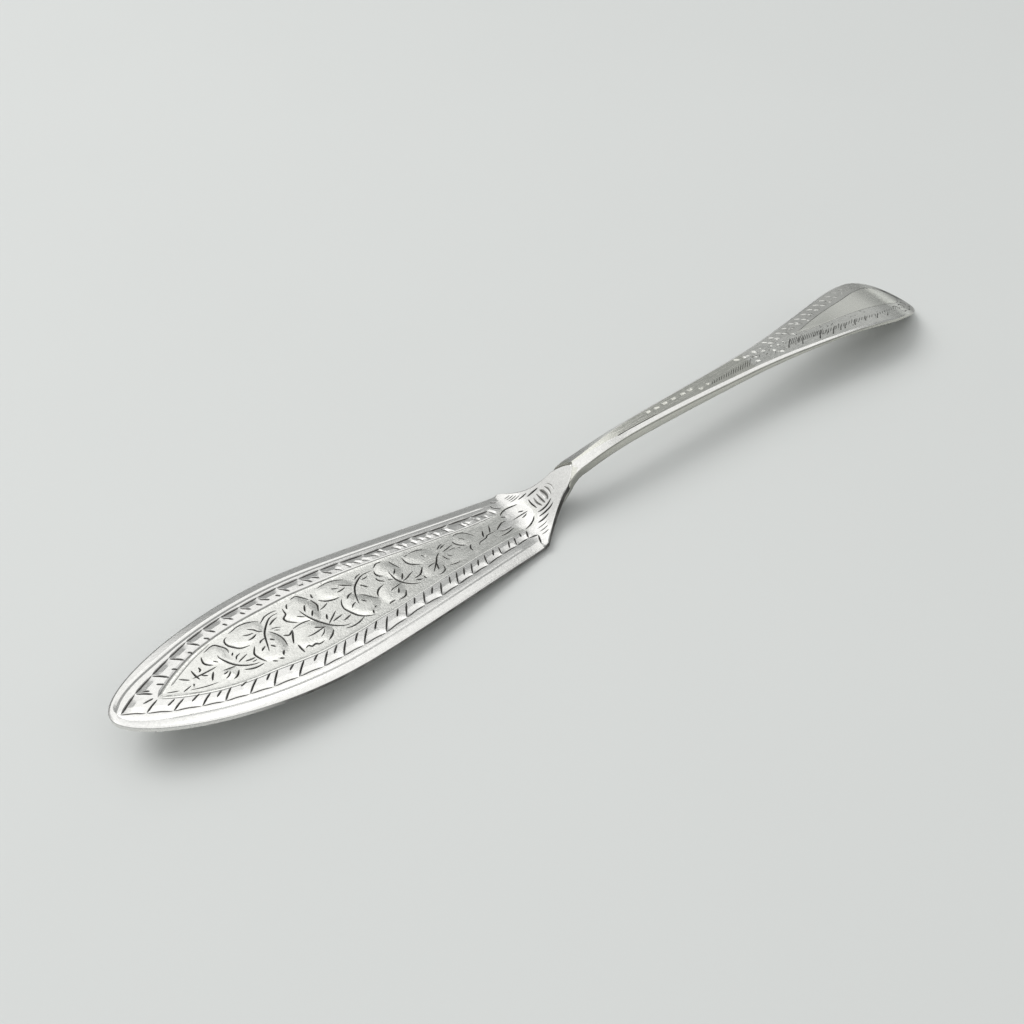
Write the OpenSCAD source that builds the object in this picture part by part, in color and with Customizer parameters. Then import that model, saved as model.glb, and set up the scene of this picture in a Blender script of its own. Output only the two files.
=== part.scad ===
// Table butter knife: a flat leaf-shaped blade with a raised tip, a cranked
// neck and a slender forged handle with a flared, turned-down end.
// The blade's tongue is let into the neck of the handle and hard-soldered.
// Units are millimetres, +Z up, tip at -X, the knife lies as it rests on a table.

/* [Overall] */
// Length from the tip to the end of the handle
overall_length = 190; // [180:1:200]

/* [Blade] */
// Length of the blade from the tip to the heel
blade_length = 83; // [78:0.5:88]
// Greatest width of the blade
blade_width = 27.1; // [24:0.1:31]
// Width of the blade at the heel
heel_width = 16.6; // [14.5:0.1:19]
// Thickness of the blade and its tongue
blade_thickness = 1.3; // [1.1:0.05:1.6]
// Slope of the blade, which carries the tip clear of the table
blade_pitch = 5.6; // [4:0.1:8]
// Width of the bevelled rim on the top of the blade
rim_width = 1.7; // [1.2:0.1:2.4]
// Fall of the bevelled rim from the flat to the edge
rim_drop = 0.4; // [0.2:0.05:0.6]

/* [Neck] */
// Height that the neck climbs from the heel to the stem
neck_rise = 9.1; // [7.5:0.1:11]
// Length over which the neck climbs
neck_length = 16; // [14:0.5:19]
// Length of the pointed end of the tongue
arch_length = 4.2; // [3.5:0.1:5]

/* [Handle] */
// Width of the stem where it is narrowest
stem_width = 3.8; // [3.2:0.1:4.6]
// Height of the stem from its edges to its underside
stem_thickness = 2.9; // [2.5:0.05:3.4]
// Rise of the stem's top over its edges
crown_rise = 0.62; // [0.4:0.02:0.8]
// Width of the bevels along the top of the handle
bevel_width = 0.7; // [0.4:0.05:0.9]
// Fall of the stem from the neck to the flared end
stem_fall = 0.6; // [0:0.1:1.2]
// Greatest width of the flared end
end_width = 15.3; // [13:0.1:17]
// Length of the rounded tip beyond the greatest width
end_round = 13.2; // [11:0.1:15]
// Height of the end from its edges to its underside
end_thickness = 1.25; // [1:0.05:1.5]

/* [Joint] */
// Thickness of the solder between the tongue and its seat
solder_gap = 0.12; // [0.05:0.01:0.25]
// Gap left around the pointed end of the tongue
tongue_clearance = 0.06; // [0.03:0.01:0.15]
// Thickness of the handle's tail under the shoulders
tail_thickness = 0.75; // [0.5:0.05:1.2]
// Distance from the heel to the front of the tail
tail_start = 1.6; // [1:0.1:3]

/* [Hidden] */

// stations along the knife, measured from the tip
heel_x = blade_length;
bend_x = heel_x - 3;
neck_x = heel_x + neck_length;
flush_x = heel_x + neck_length * 0.54;
apex_x = flush_x + arch_length;
tail_x = heel_x + tail_start;
run = overall_length - blade_length;
wide_x = overall_length - end_round;
pitch = tan(blade_pitch);
climb = neck_rise / neck_length;

// half widths at those stations
heel_w = heel_width / 2;
shoulder_w = heel_w - 0.3;
stem_w = stem_width / 2;
end_w = end_width / 2;
blunt = 0.25;
rim_step = 0.4;

// depth of the tail's underside below the edges, and of the pads filed flat on it
tail_depth = blade_thickness + solder_gap + tail_thickness;
pad_cut = 0.2;

// curves

function bez(p, t) =
    let (s = 1 - t)
    s * s * s * p[0] + 3 * s * s * t * p[1] + 3 * s * t * t * p[2] + t * t * t * p[3];

function bez_run(p, n) = [for (i = [0 : n - 1]) bez(p, i / n)];

// knots are [x, value, slope], joined by cubic pieces
function piece(k, x, i = 0) = i >= len(k) - 2 || x < k[i + 1][0] ? i : piece(k, x, i + 1);

function along(k, x) =
    let (i = piece(k, x))
    let (a = k[i])
    let (b = k[i + 1])
    let (h = b[0] - a[0])
    let (t = (x - a[0]) / h)
    a[1] * (1 + t * t * (2 * t - 3)) + h * a[2] * t * (1 - t) * (1 - t)
    + b[1] * t * t * (3 - 2 * t) - h * b[2] * t * t * (1 - t);

function steepness(k, x) = (along(k, x + 0.01) - along(k, x - 0.01)) / 0.02;

// side view: the line of the edges, with the top of the heel at zero

front_knots = [
    [0, heel_x * pitch, -pitch],
    [bend_x, (heel_x - bend_x) * pitch, -pitch],
    [heel_x + 0.375 * neck_length, 0.241 * neck_rise, 1.4 * climb],
    [heel_x + 0.69 * neck_length, 0.69 * neck_rise, 1.27 * climb]
];
straight_z = front_knots[3][1];
straight_x = front_knots[3][0];
straight_s = front_knots[3][2];
sheet_knots = concat(front_knots, [[straight_x + 20, straight_z + 20 * straight_s, straight_s]]);

function sheet_z(x) = along(sheet_knots, x);
function sheet_slope(x) = steepness(sheet_knots, x);

// the table lies under the lowest point of the tail
function tail_z(x) = sheet_z(x) - tail_depth / sqrt(1 + pow(sheet_slope(x), 2));
table_z = min([for (x = [tail_x : 0.25 : flush_x]) tail_z(x)]) + pad_cut;

end_slope = -0.78;
end_z = table_z - pad_cut + end_thickness / sqrt(1 + end_slope * end_slope);
edge_knots = concat(front_knots, [
    [neck_x, 0.855 * neck_rise, 0.35 * climb],
    [heel_x + 0.283 * run, neck_rise, 0.01],
    [heel_x + 0.528 * run, neck_rise - 0.55 * stem_fall, -0.012],
    [heel_x + 0.745 * run, neck_rise - stem_fall, -0.016],
    [heel_x + 0.887 * run, 0.695 * neck_rise, -0.036 * neck_rise],
    [overall_length, end_z, end_slope]
]);

function edge_z(x) = along(edge_knots, x);
function edge_slope(x) = steepness(edge_knots, x);

// a point at x, y and height h, square to the line that it is set on
function on_sheet(p, h) =
    let (s = sheet_slope(p[0]))
    let (n = sqrt(1 + s * s))
    [p[0] - h * s / n, p[1], sheet_z(p[0]) + h / n];

function on_edge(p, h) =
    let (s = edge_slope(p[0]))
    let (n = sqrt(1 + s * s))
    [p[0] - h * s / n, p[1], edge_z(p[0]) + h / n];

// plan view: half outlines from front to back

belly_x = 0.44 * blade_length;
belly_w = blade_width / 2;
leaf_front = [
    [0, blunt],
    [0, 0.4 * belly_w],
    [0.46 * belly_x, belly_w],
    [belly_x, belly_w]
];
leaf_back = [
    [belly_x, belly_w],
    [0.548 * blade_length, belly_w],
    [0.69 * blade_length, heel_w + 0.62 * (belly_w - heel_w)],
    [heel_x, heel_w]
];
shoulder_x = heel_x + 1.3;
shoulder = [
    [shoulder_x, shoulder_w],
    [shoulder_x + 0.22 * neck_length, shoulder_w * 0.565],
    [shoulder_x + 0.41 * neck_length, stem_w + 0.15],
    [neck_x - 1.5, stem_w + 0.1]
];
shoulder_pts = bez_run(shoulder, 24);
sweep_pts = concat(shoulder_pts, [shoulder[3]]);
flush_w = lookup(flush_x, sweep_pts);

leaf_pts = concat(bez_run(leaf_front, 22), bez_run(leaf_back, 16));
leaf_count = len(leaf_pts);
front_shoulder = [for (p = shoulder_pts) if (p[0] < flush_x - 0.2) p];

// the tongue closes in a pointed arch from where its sides run flush with the stem
arch_steps = 9;
function arch(w, length, i) =
    let (u = sin(90 * i / arch_steps))
    [flush_x + length * u, w * pow(max(1 - pow(u, 1.6), 0), 0.77)];
arch_pts = [for (i = [0 : arch_steps - 1]) arch(flush_w, arch_length, i)];
arch_tip = [[apex_x, 0.08]];

heel_pts = [[heel_x, heel_w], [heel_x + rim_step, heel_w]];
blade_pts = concat(leaf_pts, heel_pts, front_shoulder, arch_pts, arch_tip);

// handle: tail with a round nose, stem, flare and rounded tip
tail_w = flush_w + 0.35;
stem_knots = [
    [flush_x, flush_w, -0.19],
    [neck_x - 1.5, stem_w + 0.1, -0.03],
    [heel_x + 0.283 * run, stem_w, 0.02],
    [heel_x + 0.528 * run, stem_w + 0.16 * (end_w - stem_w), 0.05],
    [heel_x + 0.764 * run, stem_w + 0.725 * (end_w - stem_w), 0.17],
    [wide_x, end_w, 0]
];
nose_run = 0.45 * (flush_x - tail_x);
nose_x = tail_x + nose_run;
stem_x = neck_x + 2;
tail_knots = [[nose_x, tail_w, 0], [flush_x, flush_w, -0.19]];

function nose(a) = [tail_x + nose_run * (1 - cos(a)), max(tail_w * sin(a), blunt)];
function tip(u) = [wide_x + end_round * u, end_w * sqrt(1 - pow(u, 1.4))];

// n points of a half outline between two stations
function side(k, x0, x1, n) =
    [for (i = [0 : n - 1]) let (x = x0 + (x1 - x0) * i / n) [x, along(k, x)]];

handle_pts = concat(
    [for (i = [0 : 7]) nose(90 * i / 8)],
    side(tail_knots, nose_x, flush_x, 5),
    side(stem_knots, flush_x, stem_x, 10),
    side(stem_knots, stem_x, wide_x, 30),
    [for (i = [0 : 13]) tip(sin(90 * i / 14))],
    [[overall_length, blunt]]
);

// section of the handle along its length
crown_knots = [
    [tail_x, 0.2, 0],
    [flush_x, 0.3, 0.1],
    [apex_x, crown_rise + 0.25, 0],
    [heel_x + 0.283 * run, crown_rise, 0],
    [heel_x + 0.528 * run, 0.8 * crown_rise, -0.008],
    [heel_x + 0.755 * run, 0.42 * crown_rise, -0.004],
    [overall_length, 0.36 * crown_rise, 0]
];
flat_knots = [
    [tail_x, 0.12, 0],
    [apex_x, 0.12, 0.04],
    [heel_x + 0.283 * run, stem_w - bevel_width, 0.03],
    [overall_length, stem_w - bevel_width, 0]
];
depth_knots = [
    [tail_x, tail_depth, 0],
    [flush_x - 2.5, tail_depth, 0.05],
    [neck_x, stem_thickness, 0],
    [heel_x + 0.283 * run, stem_thickness, -0.01],
    [heel_x + 0.528 * run, 0.74 * stem_thickness, -0.035],
    [heel_x + 0.755 * run, end_thickness + 0.15, -0.008],
    [overall_length, end_thickness, 0]
];
ridge_end_x = heel_x + 0.283 * run;

// width of the bevel: to the ridge at the neck, then the bevel's own width
function bevel(p) =
    p[0] < ridge_end_x
        ? max(p[1] - along(flat_knots, p[0]), bevel_width)
        : bevel_width * (1 - 0.45 * (p[0] - ridge_end_x) / (overall_length - ridge_end_x));

// outlines moved inward, square to themselves

function facing(p, i) =
    let (n = len(p))
    let (a = p[max(i - 1, 0)])
    let (b = p[min(i + 1, n - 1)])
    let (d = i == 0 ? [0, 1] : i == n - 1 ? [0, -1] : b - a)
    [-d[1], d[0]] / norm(d);

function inset(p, i, d) =
    let (n = facing(p, i))
    let (q = p[i] - d * n)
    [q[0], max(q[1], min(p[i][1], 0.06))];

// a closed solid through rings of half outlines, bottom ring first

function mirrored(r) = [for (i = [len(r) - 1 : -1 : 0]) [r[i][0], -r[i][1], r[i][2]]];

module ring_solid(rings) {
    n = len(rings[0]);
    m = 2 * n;
    k = len(rings);
    points = [for (r = rings) each concat(r, mirrored(r))];
    walls = [for (j = [0 : k - 2]) for (i = [0 : m - 1])
        let (a = j * m + i)
        let (b = j * m + (i + 1) % m)
        each [[a, b, a + m], [b, b + m, a + m]]];
    bottom = [for (i = [0 : n - 2])
        each [[i, m - 2 - i, i + 1], [i, m - 1 - i, m - 2 - i]]];
    t = (k - 1) * m;
    top = [for (i = [0 : n - 2])
        each [[t + i, t + i + 1, t + m - 2 - i], [t + i, t + m - 2 - i, t + m - 1 - i]]];
    polyhedron(points = points, faces = concat(walls, bottom, top), convexity = 8);
}

// rings of each piece

// the rim's bevel and the broken edge run round the leaf and stop at the shoulders
edge_break = 0.2;
soft = 0.08;
function leaf_or(i, a, b) = i <= leaf_count ? a : b;
blade_i = [0 : len(blade_pts) - 1];

blade_rings = [
    [for (i = blade_i) on_sheet(inset(blade_pts, i, leaf_or(i, edge_break, 0)), -blade_thickness)],
    [for (i = blade_i) on_sheet(blade_pts[i], edge_break - blade_thickness)],
    [for (i = blade_i) on_sheet(blade_pts[i], -leaf_or(i, rim_drop, soft))],
    [for (i = blade_i) on_sheet(inset(blade_pts, i, leaf_or(i, rim_width, soft)), 0)]
];

// the handle's underside: a ring drawn in by a share of the width, at a share of the depth
handle_i = [0 : len(handle_pts) - 1];
function under(i, drawn_in, deep) =
    let (p = handle_pts[i])
    on_edge(inset(handle_pts, i, drawn_in * p[1]), -deep * along(depth_knots, p[0]));
function crown(i) =
    let (p = handle_pts[i])
    on_edge(inset(handle_pts, i, bevel(p)), along(crown_knots, p[0]));

handle_rings = [
    [for (i = handle_i) under(i, 0.5, 1)],
    [for (i = handle_i) under(i, 0.15, 0.9)],
    [for (i = handle_i) under(i, 0.03, 0.62)],
    [for (p = handle_pts) on_edge(p, 0)],
    [for (i = handle_i) crown(i)]
];

// the seat is wider than the tail up to where the tongue runs flush, then follows its arch
seat_depth = blade_thickness + solder_gap;
function seat_gap(x) = x < flush_x - 0.1 ? 2 : tongue_clearance;
tongue_pts = concat(front_shoulder, arch_pts, arch_tip);
lap_pts = [for (p = tongue_pts) if (p[0] > tail_x - 0.5) p];
seat_pts = concat(
    [for (p = lap_pts) [p[0], p[1] + seat_gap(p[0])]],
    [[apex_x + tongue_clearance, 0.1]]
);
seat_rings = [
    [for (p = seat_pts) on_sheet(p, -seat_depth)],
    [for (p = seat_pts) on_sheet(p, 3)]
];

// placing: middle of the length at the origin, the table at zero

blade_x = [for (r = blade_rings) for (p = r) p[0]];
handle_x = [for (r = handle_rings) for (p = r) p[0]];
middle_x = (min(blade_x) + max(handle_x)) / 2;

module place() {
    translate([-middle_x, 0, -table_z])
        children();
}

module blade() {
    color([0.80, 0.80, 0.78])
        place()
            ring_solid(blade_rings);
}

module handle() {
    color([0.74, 0.74, 0.72])
        difference() {
            place()
                ring_solid(handle_rings);
            place()
                ring_solid(seat_rings);
            // both resting points are filed level with the table
            translate([-overall_length, -overall_length / 2, -10])
                cube([2 * overall_length, overall_length, 10]);
        }
}

// the film of solder fills the gap under the tongue, a little short of the tail's outline
film_short = 0.25;
function film_w(p) = max(min(lookup(p[0] - film_short, handle_pts), p[1]) - film_short, 0.06);
film_pts = [for (p = lap_pts) if (p[0] > tail_x + 2 * film_short) [p[0], film_w(p)]];
film_rings = [
    [for (p = film_pts) on_sheet(p, -seat_depth)],
    [for (p = film_pts) on_sheet(p, -blade_thickness)]
];

module solder_seam() {
    color([0.62, 0.61, 0.58])
        place()
            ring_solid(film_rings);
}

blade();
handle();
solder_seam();
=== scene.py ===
"""Engraved table butter knife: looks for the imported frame.

Design sizes are in millimetres in the knife's own plan: x runs from the tip of the
blade to the end of the handle, y across, z up. KnifeForm.to_frame turns such points
into metres in the frame. The ornament is drawn as graver's cuts. Geometry Nodes lay
out those that repeat, and all are then carved into the sheets as real grooves.
"""

import logging
import math
from dataclasses import dataclass
from enum import Enum
from functools import cached_property
from typing import Iterable, Sequence

import bpy
import numpy as np
from mathutils import Matrix, Vector
from mathutils.geometry import delaunay_2d_cdt


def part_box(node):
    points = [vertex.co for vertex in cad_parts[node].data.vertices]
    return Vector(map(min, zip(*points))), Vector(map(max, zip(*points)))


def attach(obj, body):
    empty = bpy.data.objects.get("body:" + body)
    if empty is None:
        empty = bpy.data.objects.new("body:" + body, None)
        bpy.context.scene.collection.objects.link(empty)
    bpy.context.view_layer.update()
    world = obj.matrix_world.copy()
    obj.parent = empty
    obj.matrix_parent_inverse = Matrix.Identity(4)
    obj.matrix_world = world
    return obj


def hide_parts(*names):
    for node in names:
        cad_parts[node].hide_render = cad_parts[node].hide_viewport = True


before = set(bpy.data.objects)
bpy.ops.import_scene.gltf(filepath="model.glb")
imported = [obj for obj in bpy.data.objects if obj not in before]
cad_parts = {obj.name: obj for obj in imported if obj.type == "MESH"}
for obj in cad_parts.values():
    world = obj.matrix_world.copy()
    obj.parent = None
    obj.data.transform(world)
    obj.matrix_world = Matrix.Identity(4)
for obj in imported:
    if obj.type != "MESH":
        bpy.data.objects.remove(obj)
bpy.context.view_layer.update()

LOG = logging.getLogger("butter_knife")
MM = 0.001
BODY = "root"
# Point attribute of the dark colour: patina in the cuts, and painted shade on edges, walls, sides and
# underside.
TARNISH_AND_SHADE_ATTRIBUTE = "cut"
GROOVE_ATTRIBUTES = ("half_width", "left", "right", "stain")
SIZE_ATTRIBUTE = "spray_size"
TURN_ATTRIBUTE = "spray_turn"
STROKE_POINTS = 9
SMALL_STEP = 0.01
MIDDLE_GAP = 0.06
WIDE_WALL = 1.3
LEAST_REACH = 0.004
FILM_GAIN = 3
CURVE_STEPS = 12
INNER_TRIANGLES = 1
MERGE_DISTANCE = 1e-5

Array = np.ndarray
Knot = tuple[float, float, float]
Point = tuple[float, float]


# Lines and outlines


@dataclass(frozen=True)
class CubicLine:
    """A line through knots of x, value and slope, joined by cubic pieces."""

    knots: tuple[Knot, ...]

    @classmethod
    def through(cls, *knots: Knot) -> "CubicLine":
        """A line through the given knots."""
        return cls(knots)

    def at(self, x: Array) -> Array:
        """Value of the line.

        Args:
            x: stations along the knife.

        Returns:
            The value at each station.
        """
        table = np.asarray(self.knots, float)
        x = np.asarray(x, float)
        i = np.clip(np.searchsorted(table[:, 0], x, side="right") - 1, 0, len(table) - 2)
        a, b = table[i], table[i + 1]
        h = b[..., 0] - a[..., 0]
        t = (x - a[..., 0]) / h
        return (
            a[..., 1] * (1 + t * t * (2 * t - 3))
            + h * a[..., 2] * t * (1 - t) ** 2
            + b[..., 1] * t * t * (3 - 2 * t)
            - h * b[..., 2] * t * t * (1 - t)
        )

    def slope(self, x: Array) -> Array:
        """Steepness of the line at each station."""
        x = np.asarray(x, float)
        return (self.at(x + SMALL_STEP) - self.at(x - SMALL_STEP)) / (2 * SMALL_STEP)


def bezier(corners: Sequence[Point], count: int, last: bool = False) -> Array:
    """Points along a cubic Bezier curve.

    Args:
        corners: its four control points.
        count: how many points.
        last: whether the end point is one of them.

    Returns:
        An array of count rows of x and y.
    """
    p = np.asarray(corners, float)
    t = np.linspace(0, 1, count, endpoint=last)[:, None]
    s = 1 - t
    return s**3 * p[0] + 3 * s * s * t * p[1] + 3 * s * t * t * p[2] + t**3 * p[3]


def facing(line: Array, first: Point, last: Point) -> Array:
    """Unit normals to the left of a run of points.

    Args:
        line: rows of x and y.
        first: direction to take at the first point.
        last: direction to take at the last point.

    Returns:
        One normal for each point.
    """
    d = np.empty_like(line)
    d[1:-1] = line[2:] - line[:-2]
    d[0], d[-1] = first, last
    n = np.stack([-d[:, 1], d[:, 0]], 1)
    return n / np.linalg.norm(n, axis=1, keepdims=True)


def smooth_path(points: Sequence[Point], count: int) -> Array:
    """A smooth run of evenly spaced points through a few given ones.

    Args:
        points: two or more points.
        count: how many points to return.

    Returns:
        An array of count rows of x and y.
    """
    p = np.asarray(points, float)
    if len(p) == 2:
        return p[0] + (p[1] - p[0]) * np.linspace(0, 1, count)[:, None]
    q = np.vstack([2 * p[0] - p[1], p, 2 * p[-1] - p[-2]])
    t = np.linspace(0, 1, CURVE_STEPS, endpoint=False)[:, None]
    runs = []
    for a, b, c, d in zip(q[:-3], q[1:-2], q[2:-1], q[3:]):
        bend = 2 * a - 5 * b + 4 * c - d
        twist = 3 * b - a - 3 * c + d
        runs.append(0.5 * (2 * b + (c - a) * t + bend * t**2 + twist * t**3))
    dense = np.vstack(runs + [p[-1:]])
    along = np.r_[0, np.cumsum(np.linalg.norm(np.diff(dense, axis=0), axis=1))]
    steps = np.linspace(0, along[-1], count)
    return np.stack([np.interp(steps, along, dense[:, k]) for k in (0, 1)], 1)


@dataclass(frozen=True)
class KnifeForm:
    """The knife's sizes in millimetres, and the lines that its surfaces follow."""

    length: float = 190.0
    blade_length: float = 83.0
    blade_width: float = 27.1
    heel_width: float = 16.6
    blade_thickness: float = 1.3
    blade_pitch: float = 5.6
    rim_width: float = 1.7
    rim_drop: float = 0.4
    neck_rise: float = 9.1
    neck_length: float = 16.0
    arch_length: float = 4.2
    stem_width: float = 3.8
    stem_thickness: float = 2.9
    crown_rise: float = 0.62
    bevel_width: float = 0.7
    stem_fall: float = 0.6
    end_width: float = 15.3
    end_round: float = 13.2
    end_thickness: float = 1.25
    solder_gap: float = 0.12
    tongue_clearance: float = 0.06
    tail_thickness: float = 0.75
    tail_start: float = 1.6
    blunt: float = 0.25
    soft: float = 0.08
    edge_break: float = 0.2
    pad_cut: float = 0.2
    end_slope: float = -0.78
    bend_run: float = 3.0
    flush_slope: float = -0.19

    @cached_property
    def heel_x(self) -> float:
        """Station of the blade's heel."""
        return self.blade_length

    @cached_property
    def neck_x(self) -> float:
        """Station where the neck runs into the stem."""
        return self.heel_x + self.neck_length

    @cached_property
    def waist_x(self) -> float:
        """Station where the shoulders' sweep has run out."""
        return self.neck_x - 1.5

    @cached_property
    def flush_x(self) -> float:
        """Station where the tongue's sides run flush with the stem."""
        return self.heel_x + 0.54 * self.neck_length

    @cached_property
    def apex_x(self) -> float:
        """Station of the tongue's pointed end."""
        return self.flush_x + self.arch_length

    @cached_property
    def tail_x(self) -> float:
        """Station of the front of the handle's tail."""
        return self.heel_x + self.tail_start

    @cached_property
    def wide_x(self) -> float:
        """Station of the flared end's greatest width."""
        return self.length - self.end_round

    @cached_property
    def tail_depth(self) -> float:
        """Depth of the tail's underside below the blade's top."""
        return self.blade_thickness + self.solder_gap + self.tail_thickness

    def along_handle(self, share: float) -> float:
        """Station at a share of the way from the heel to the handle's end."""
        return self.heel_x + share * (self.length - self.blade_length)

    @cached_property
    def slim_x(self) -> float:
        """Station where the stem is slimmest."""
        return self.along_handle(0.283)

    @cached_property
    def swell_x(self) -> float:
        """Station where the stem starts to widen."""
        return self.along_handle(0.528)

    @cached_property
    def flare_x(self) -> float:
        """Station where the handle flares out."""
        return self.along_handle(0.755)

    @cached_property
    def front_knots(self) -> tuple[Knot, ...]:
        """Side line of the flat blade, its bend and the climb of the neck."""
        pitch = math.tan(math.radians(self.blade_pitch))
        climb = self.neck_rise / self.neck_length
        return (
            (0, self.heel_x * pitch, -pitch),
            (self.heel_x - self.bend_run, self.bend_run * pitch, -pitch),
            (self.heel_x + 0.375 * self.neck_length, 0.241 * self.neck_rise, 1.4 * climb),
            (self.heel_x + 0.69 * self.neck_length, 0.69 * self.neck_rise, 1.27 * climb),
        )

    @cached_property
    def sheet(self) -> CubicLine:
        """Side line of the blade's top, straight on through the tongue."""
        x, z, s = self.front_knots[-1]
        run = 20.0
        return CubicLine.through(*self.front_knots, (x + run, z + run * s, s))

    @cached_property
    def table_z(self) -> float:
        """Height of the table, under the filed tail."""
        x = np.arange(self.tail_x, self.flush_x + 1e-9, 0.25)
        low = self.sheet.at(x) - self.tail_depth / np.hypot(1, self.sheet.slope(x))
        return float(low.min()) + self.pad_cut

    @cached_property
    def edge(self) -> CubicLine:
        """Side line of the handle's edges."""
        climb = self.neck_rise / self.neck_length
        end_z = self.table_z - self.pad_cut + self.end_thickness / math.hypot(1, self.end_slope)
        return CubicLine.through(
            *self.front_knots,
            (self.neck_x, 0.855 * self.neck_rise, 0.35 * climb),
            (self.slim_x, self.neck_rise, 0.01),
            (self.swell_x, self.neck_rise - 0.55 * self.stem_fall, -0.012),
            (self.along_handle(0.745), self.neck_rise - self.stem_fall, -0.016),
            (self.along_handle(0.887), 0.695 * self.neck_rise, -0.036 * self.neck_rise),
            (self.length, end_z, self.end_slope),
        )

    @staticmethod
    def on_line(line: CubicLine, plan: Array, height: Array | float) -> Array:
        """Points set square to a side line.

        Args:
            line: the side line.
            plan: rows of x and y.
            height: distance over the line, for all points or for each.

        Returns:
            Rows of x, y and z.
        """
        s = line.slope(plan[:, 0])
        n = np.hypot(1, s)
        return np.stack([plan[:, 0] - height * s / n, plan[:, 1], line.at(plan[:, 0]) + height / n], 1)

    @cached_property
    def middle_x(self) -> float:
        """Station that lies at the frame's origin."""
        tip = self.on_line(self.sheet, np.zeros((1, 2)), self.edge_break - self.blade_thickness)
        return float(tip[0, 0]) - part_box("blade")[0].x / MM

    def to_frame(self, points: Array) -> Array:
        """Turns rows of x, y, z in millimetres into metres in the frame."""
        return (points - [self.middle_x, 0, self.table_z]) * MM

    @cached_property
    def leaf_half(self) -> Array:
        """Half outline of the leaf from the tip to the heel."""
        w, heel = self.blade_width / 2, self.heel_width / 2
        x = 0.44 * self.blade_length
        front = ((0, self.blunt), (0, 0.4 * w), (0.46 * x, w), (x, w))
        back = (
            (x, w),
            (0.548 * self.blade_length, w),
            (0.69 * self.blade_length, heel + 0.62 * (w - heel)),
            (self.heel_x, heel),
        )
        return np.vstack([bezier(front, 110), bezier(back, 70, last=True)])

    @cached_property
    def shoulder_half(self) -> Array:
        """Half outline of the shoulder's sweep into the stem."""
        w, stem = self.heel_width / 2 - 0.3, self.stem_width / 2
        x = self.heel_x + 1.3
        corners = (
            (x, w),
            (x + 0.22 * self.neck_length, 0.565 * w),
            (x + 0.41 * self.neck_length, stem + 0.15),
            (self.waist_x, stem + 0.1),
        )
        return bezier(corners, 60, last=True)

    @cached_property
    def flush_w(self) -> float:
        """Half width of the tongue where it runs flush."""
        return float(np.interp(self.flush_x, *self.shoulder_half.T))

    def arch(self, half_width: float, length: float, count: int) -> Array:
        """Half outline of the tongue's pointed end.

        Args:
            half_width: at its start.
            length: from its start to its apex.
            count: how many points.

        Returns:
            Rows of x and y.
        """
        u = np.sin(np.linspace(0, math.pi / 2, count))
        return np.stack([self.flush_x + length * u, half_width * np.clip(1 - u**1.6, 0, 1) ** 0.77], 1)

    @cached_property
    def stem(self) -> CubicLine:
        """Half width of the handle from the tongue to its greatest width."""
        w, end = self.stem_width / 2, self.end_width / 2
        return CubicLine.through(
            (self.flush_x, self.flush_w, self.flush_slope),
            (self.waist_x, w + 0.1, -0.03),
            (self.slim_x, w, 0.02),
            (self.swell_x, w + 0.16 * (end - w), 0.05),
            (self.along_handle(0.764), w + 0.725 * (end - w), 0.17),
            (self.wide_x, end, 0),
        )

    @cached_property
    def crown(self) -> CubicLine:
        """Rise of the handle's top over its edges."""
        c = self.crown_rise
        return CubicLine.through(
            (self.tail_x, 0.2, 0),
            (self.flush_x, 0.3, 0.1),
            (self.apex_x, c + 0.25, 0),
            (self.slim_x, c, 0),
            (self.swell_x, 0.8 * c, -0.008),
            (self.flare_x, 0.42 * c, -0.004),
            (self.length, 0.36 * c, 0),
        )

    @cached_property
    def ridge(self) -> CubicLine:
        """Half width of the flat on top of the ridged neck."""
        w = self.stem_width / 2 - self.bevel_width
        return CubicLine.through(
            (self.tail_x, 0.12, 0),
            (self.apex_x, 0.12, 0.04),
            (self.slim_x, w, 0.03),
            (self.length, w, 0),
        )

    @cached_property
    def depth(self) -> CubicLine:
        """Depth of the handle's underside below its edges."""
        return CubicLine.through(
            (self.tail_x, self.tail_depth, 0),
            (self.flush_x - 2.5, self.tail_depth, 0.05),
            (self.neck_x, self.stem_thickness, 0),
            (self.slim_x, self.stem_thickness, -0.01),
            (self.swell_x, 0.74 * self.stem_thickness, -0.035),
            (self.flare_x, self.end_thickness + 0.15, -0.008),
            (self.length, self.end_thickness, 0),
        )

    @cached_property
    def handle_half(self) -> Array:
        """Half outline of the handle from the front of its tail to its end."""
        tail_w = self.flush_w + 0.35
        nose_run = 0.45 * (self.flush_x - self.tail_x)
        a = np.linspace(0, math.pi / 2, 16, endpoint=False)
        nose_y = np.maximum(tail_w * np.sin(a), self.blunt)
        nose = np.stack([self.tail_x + nose_run * (1 - np.cos(a)), nose_y], 1)
        flush = (self.flush_x, self.flush_w, self.flush_slope)
        tail = CubicLine.through((self.tail_x + nose_run, tail_w, 0), flush)
        tail_at = np.linspace(self.tail_x + nose_run, self.flush_x, 8, endpoint=False)
        stem_at = np.linspace(self.flush_x, self.wide_x, 130, endpoint=False)
        u = np.sin(np.linspace(0, math.pi / 2, 36, endpoint=False))
        tip = np.stack([self.wide_x + self.end_round * u, self.end_width / 2 * np.sqrt(1 - u**1.4)], 1)
        return np.vstack(
            [
                nose,
                np.stack([tail_at, tail.at(tail_at)], 1),
                np.stack([stem_at, self.stem.at(stem_at)], 1),
                tip,
                [[self.length, self.blunt]],
            ]
        )

    def bevel(self, half: Array) -> Array:
        """Width of the handle's top bevel at each point of a half outline."""
        x, w = half.T
        ridge_end = self.slim_x
        share = (x - ridge_end) / (self.length - ridge_end)
        return np.where(
            x < ridge_end,
            np.maximum(w - self.ridge.at(x), self.bevel_width),
            self.bevel_width * (1 - 0.45 * share),
        )


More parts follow.
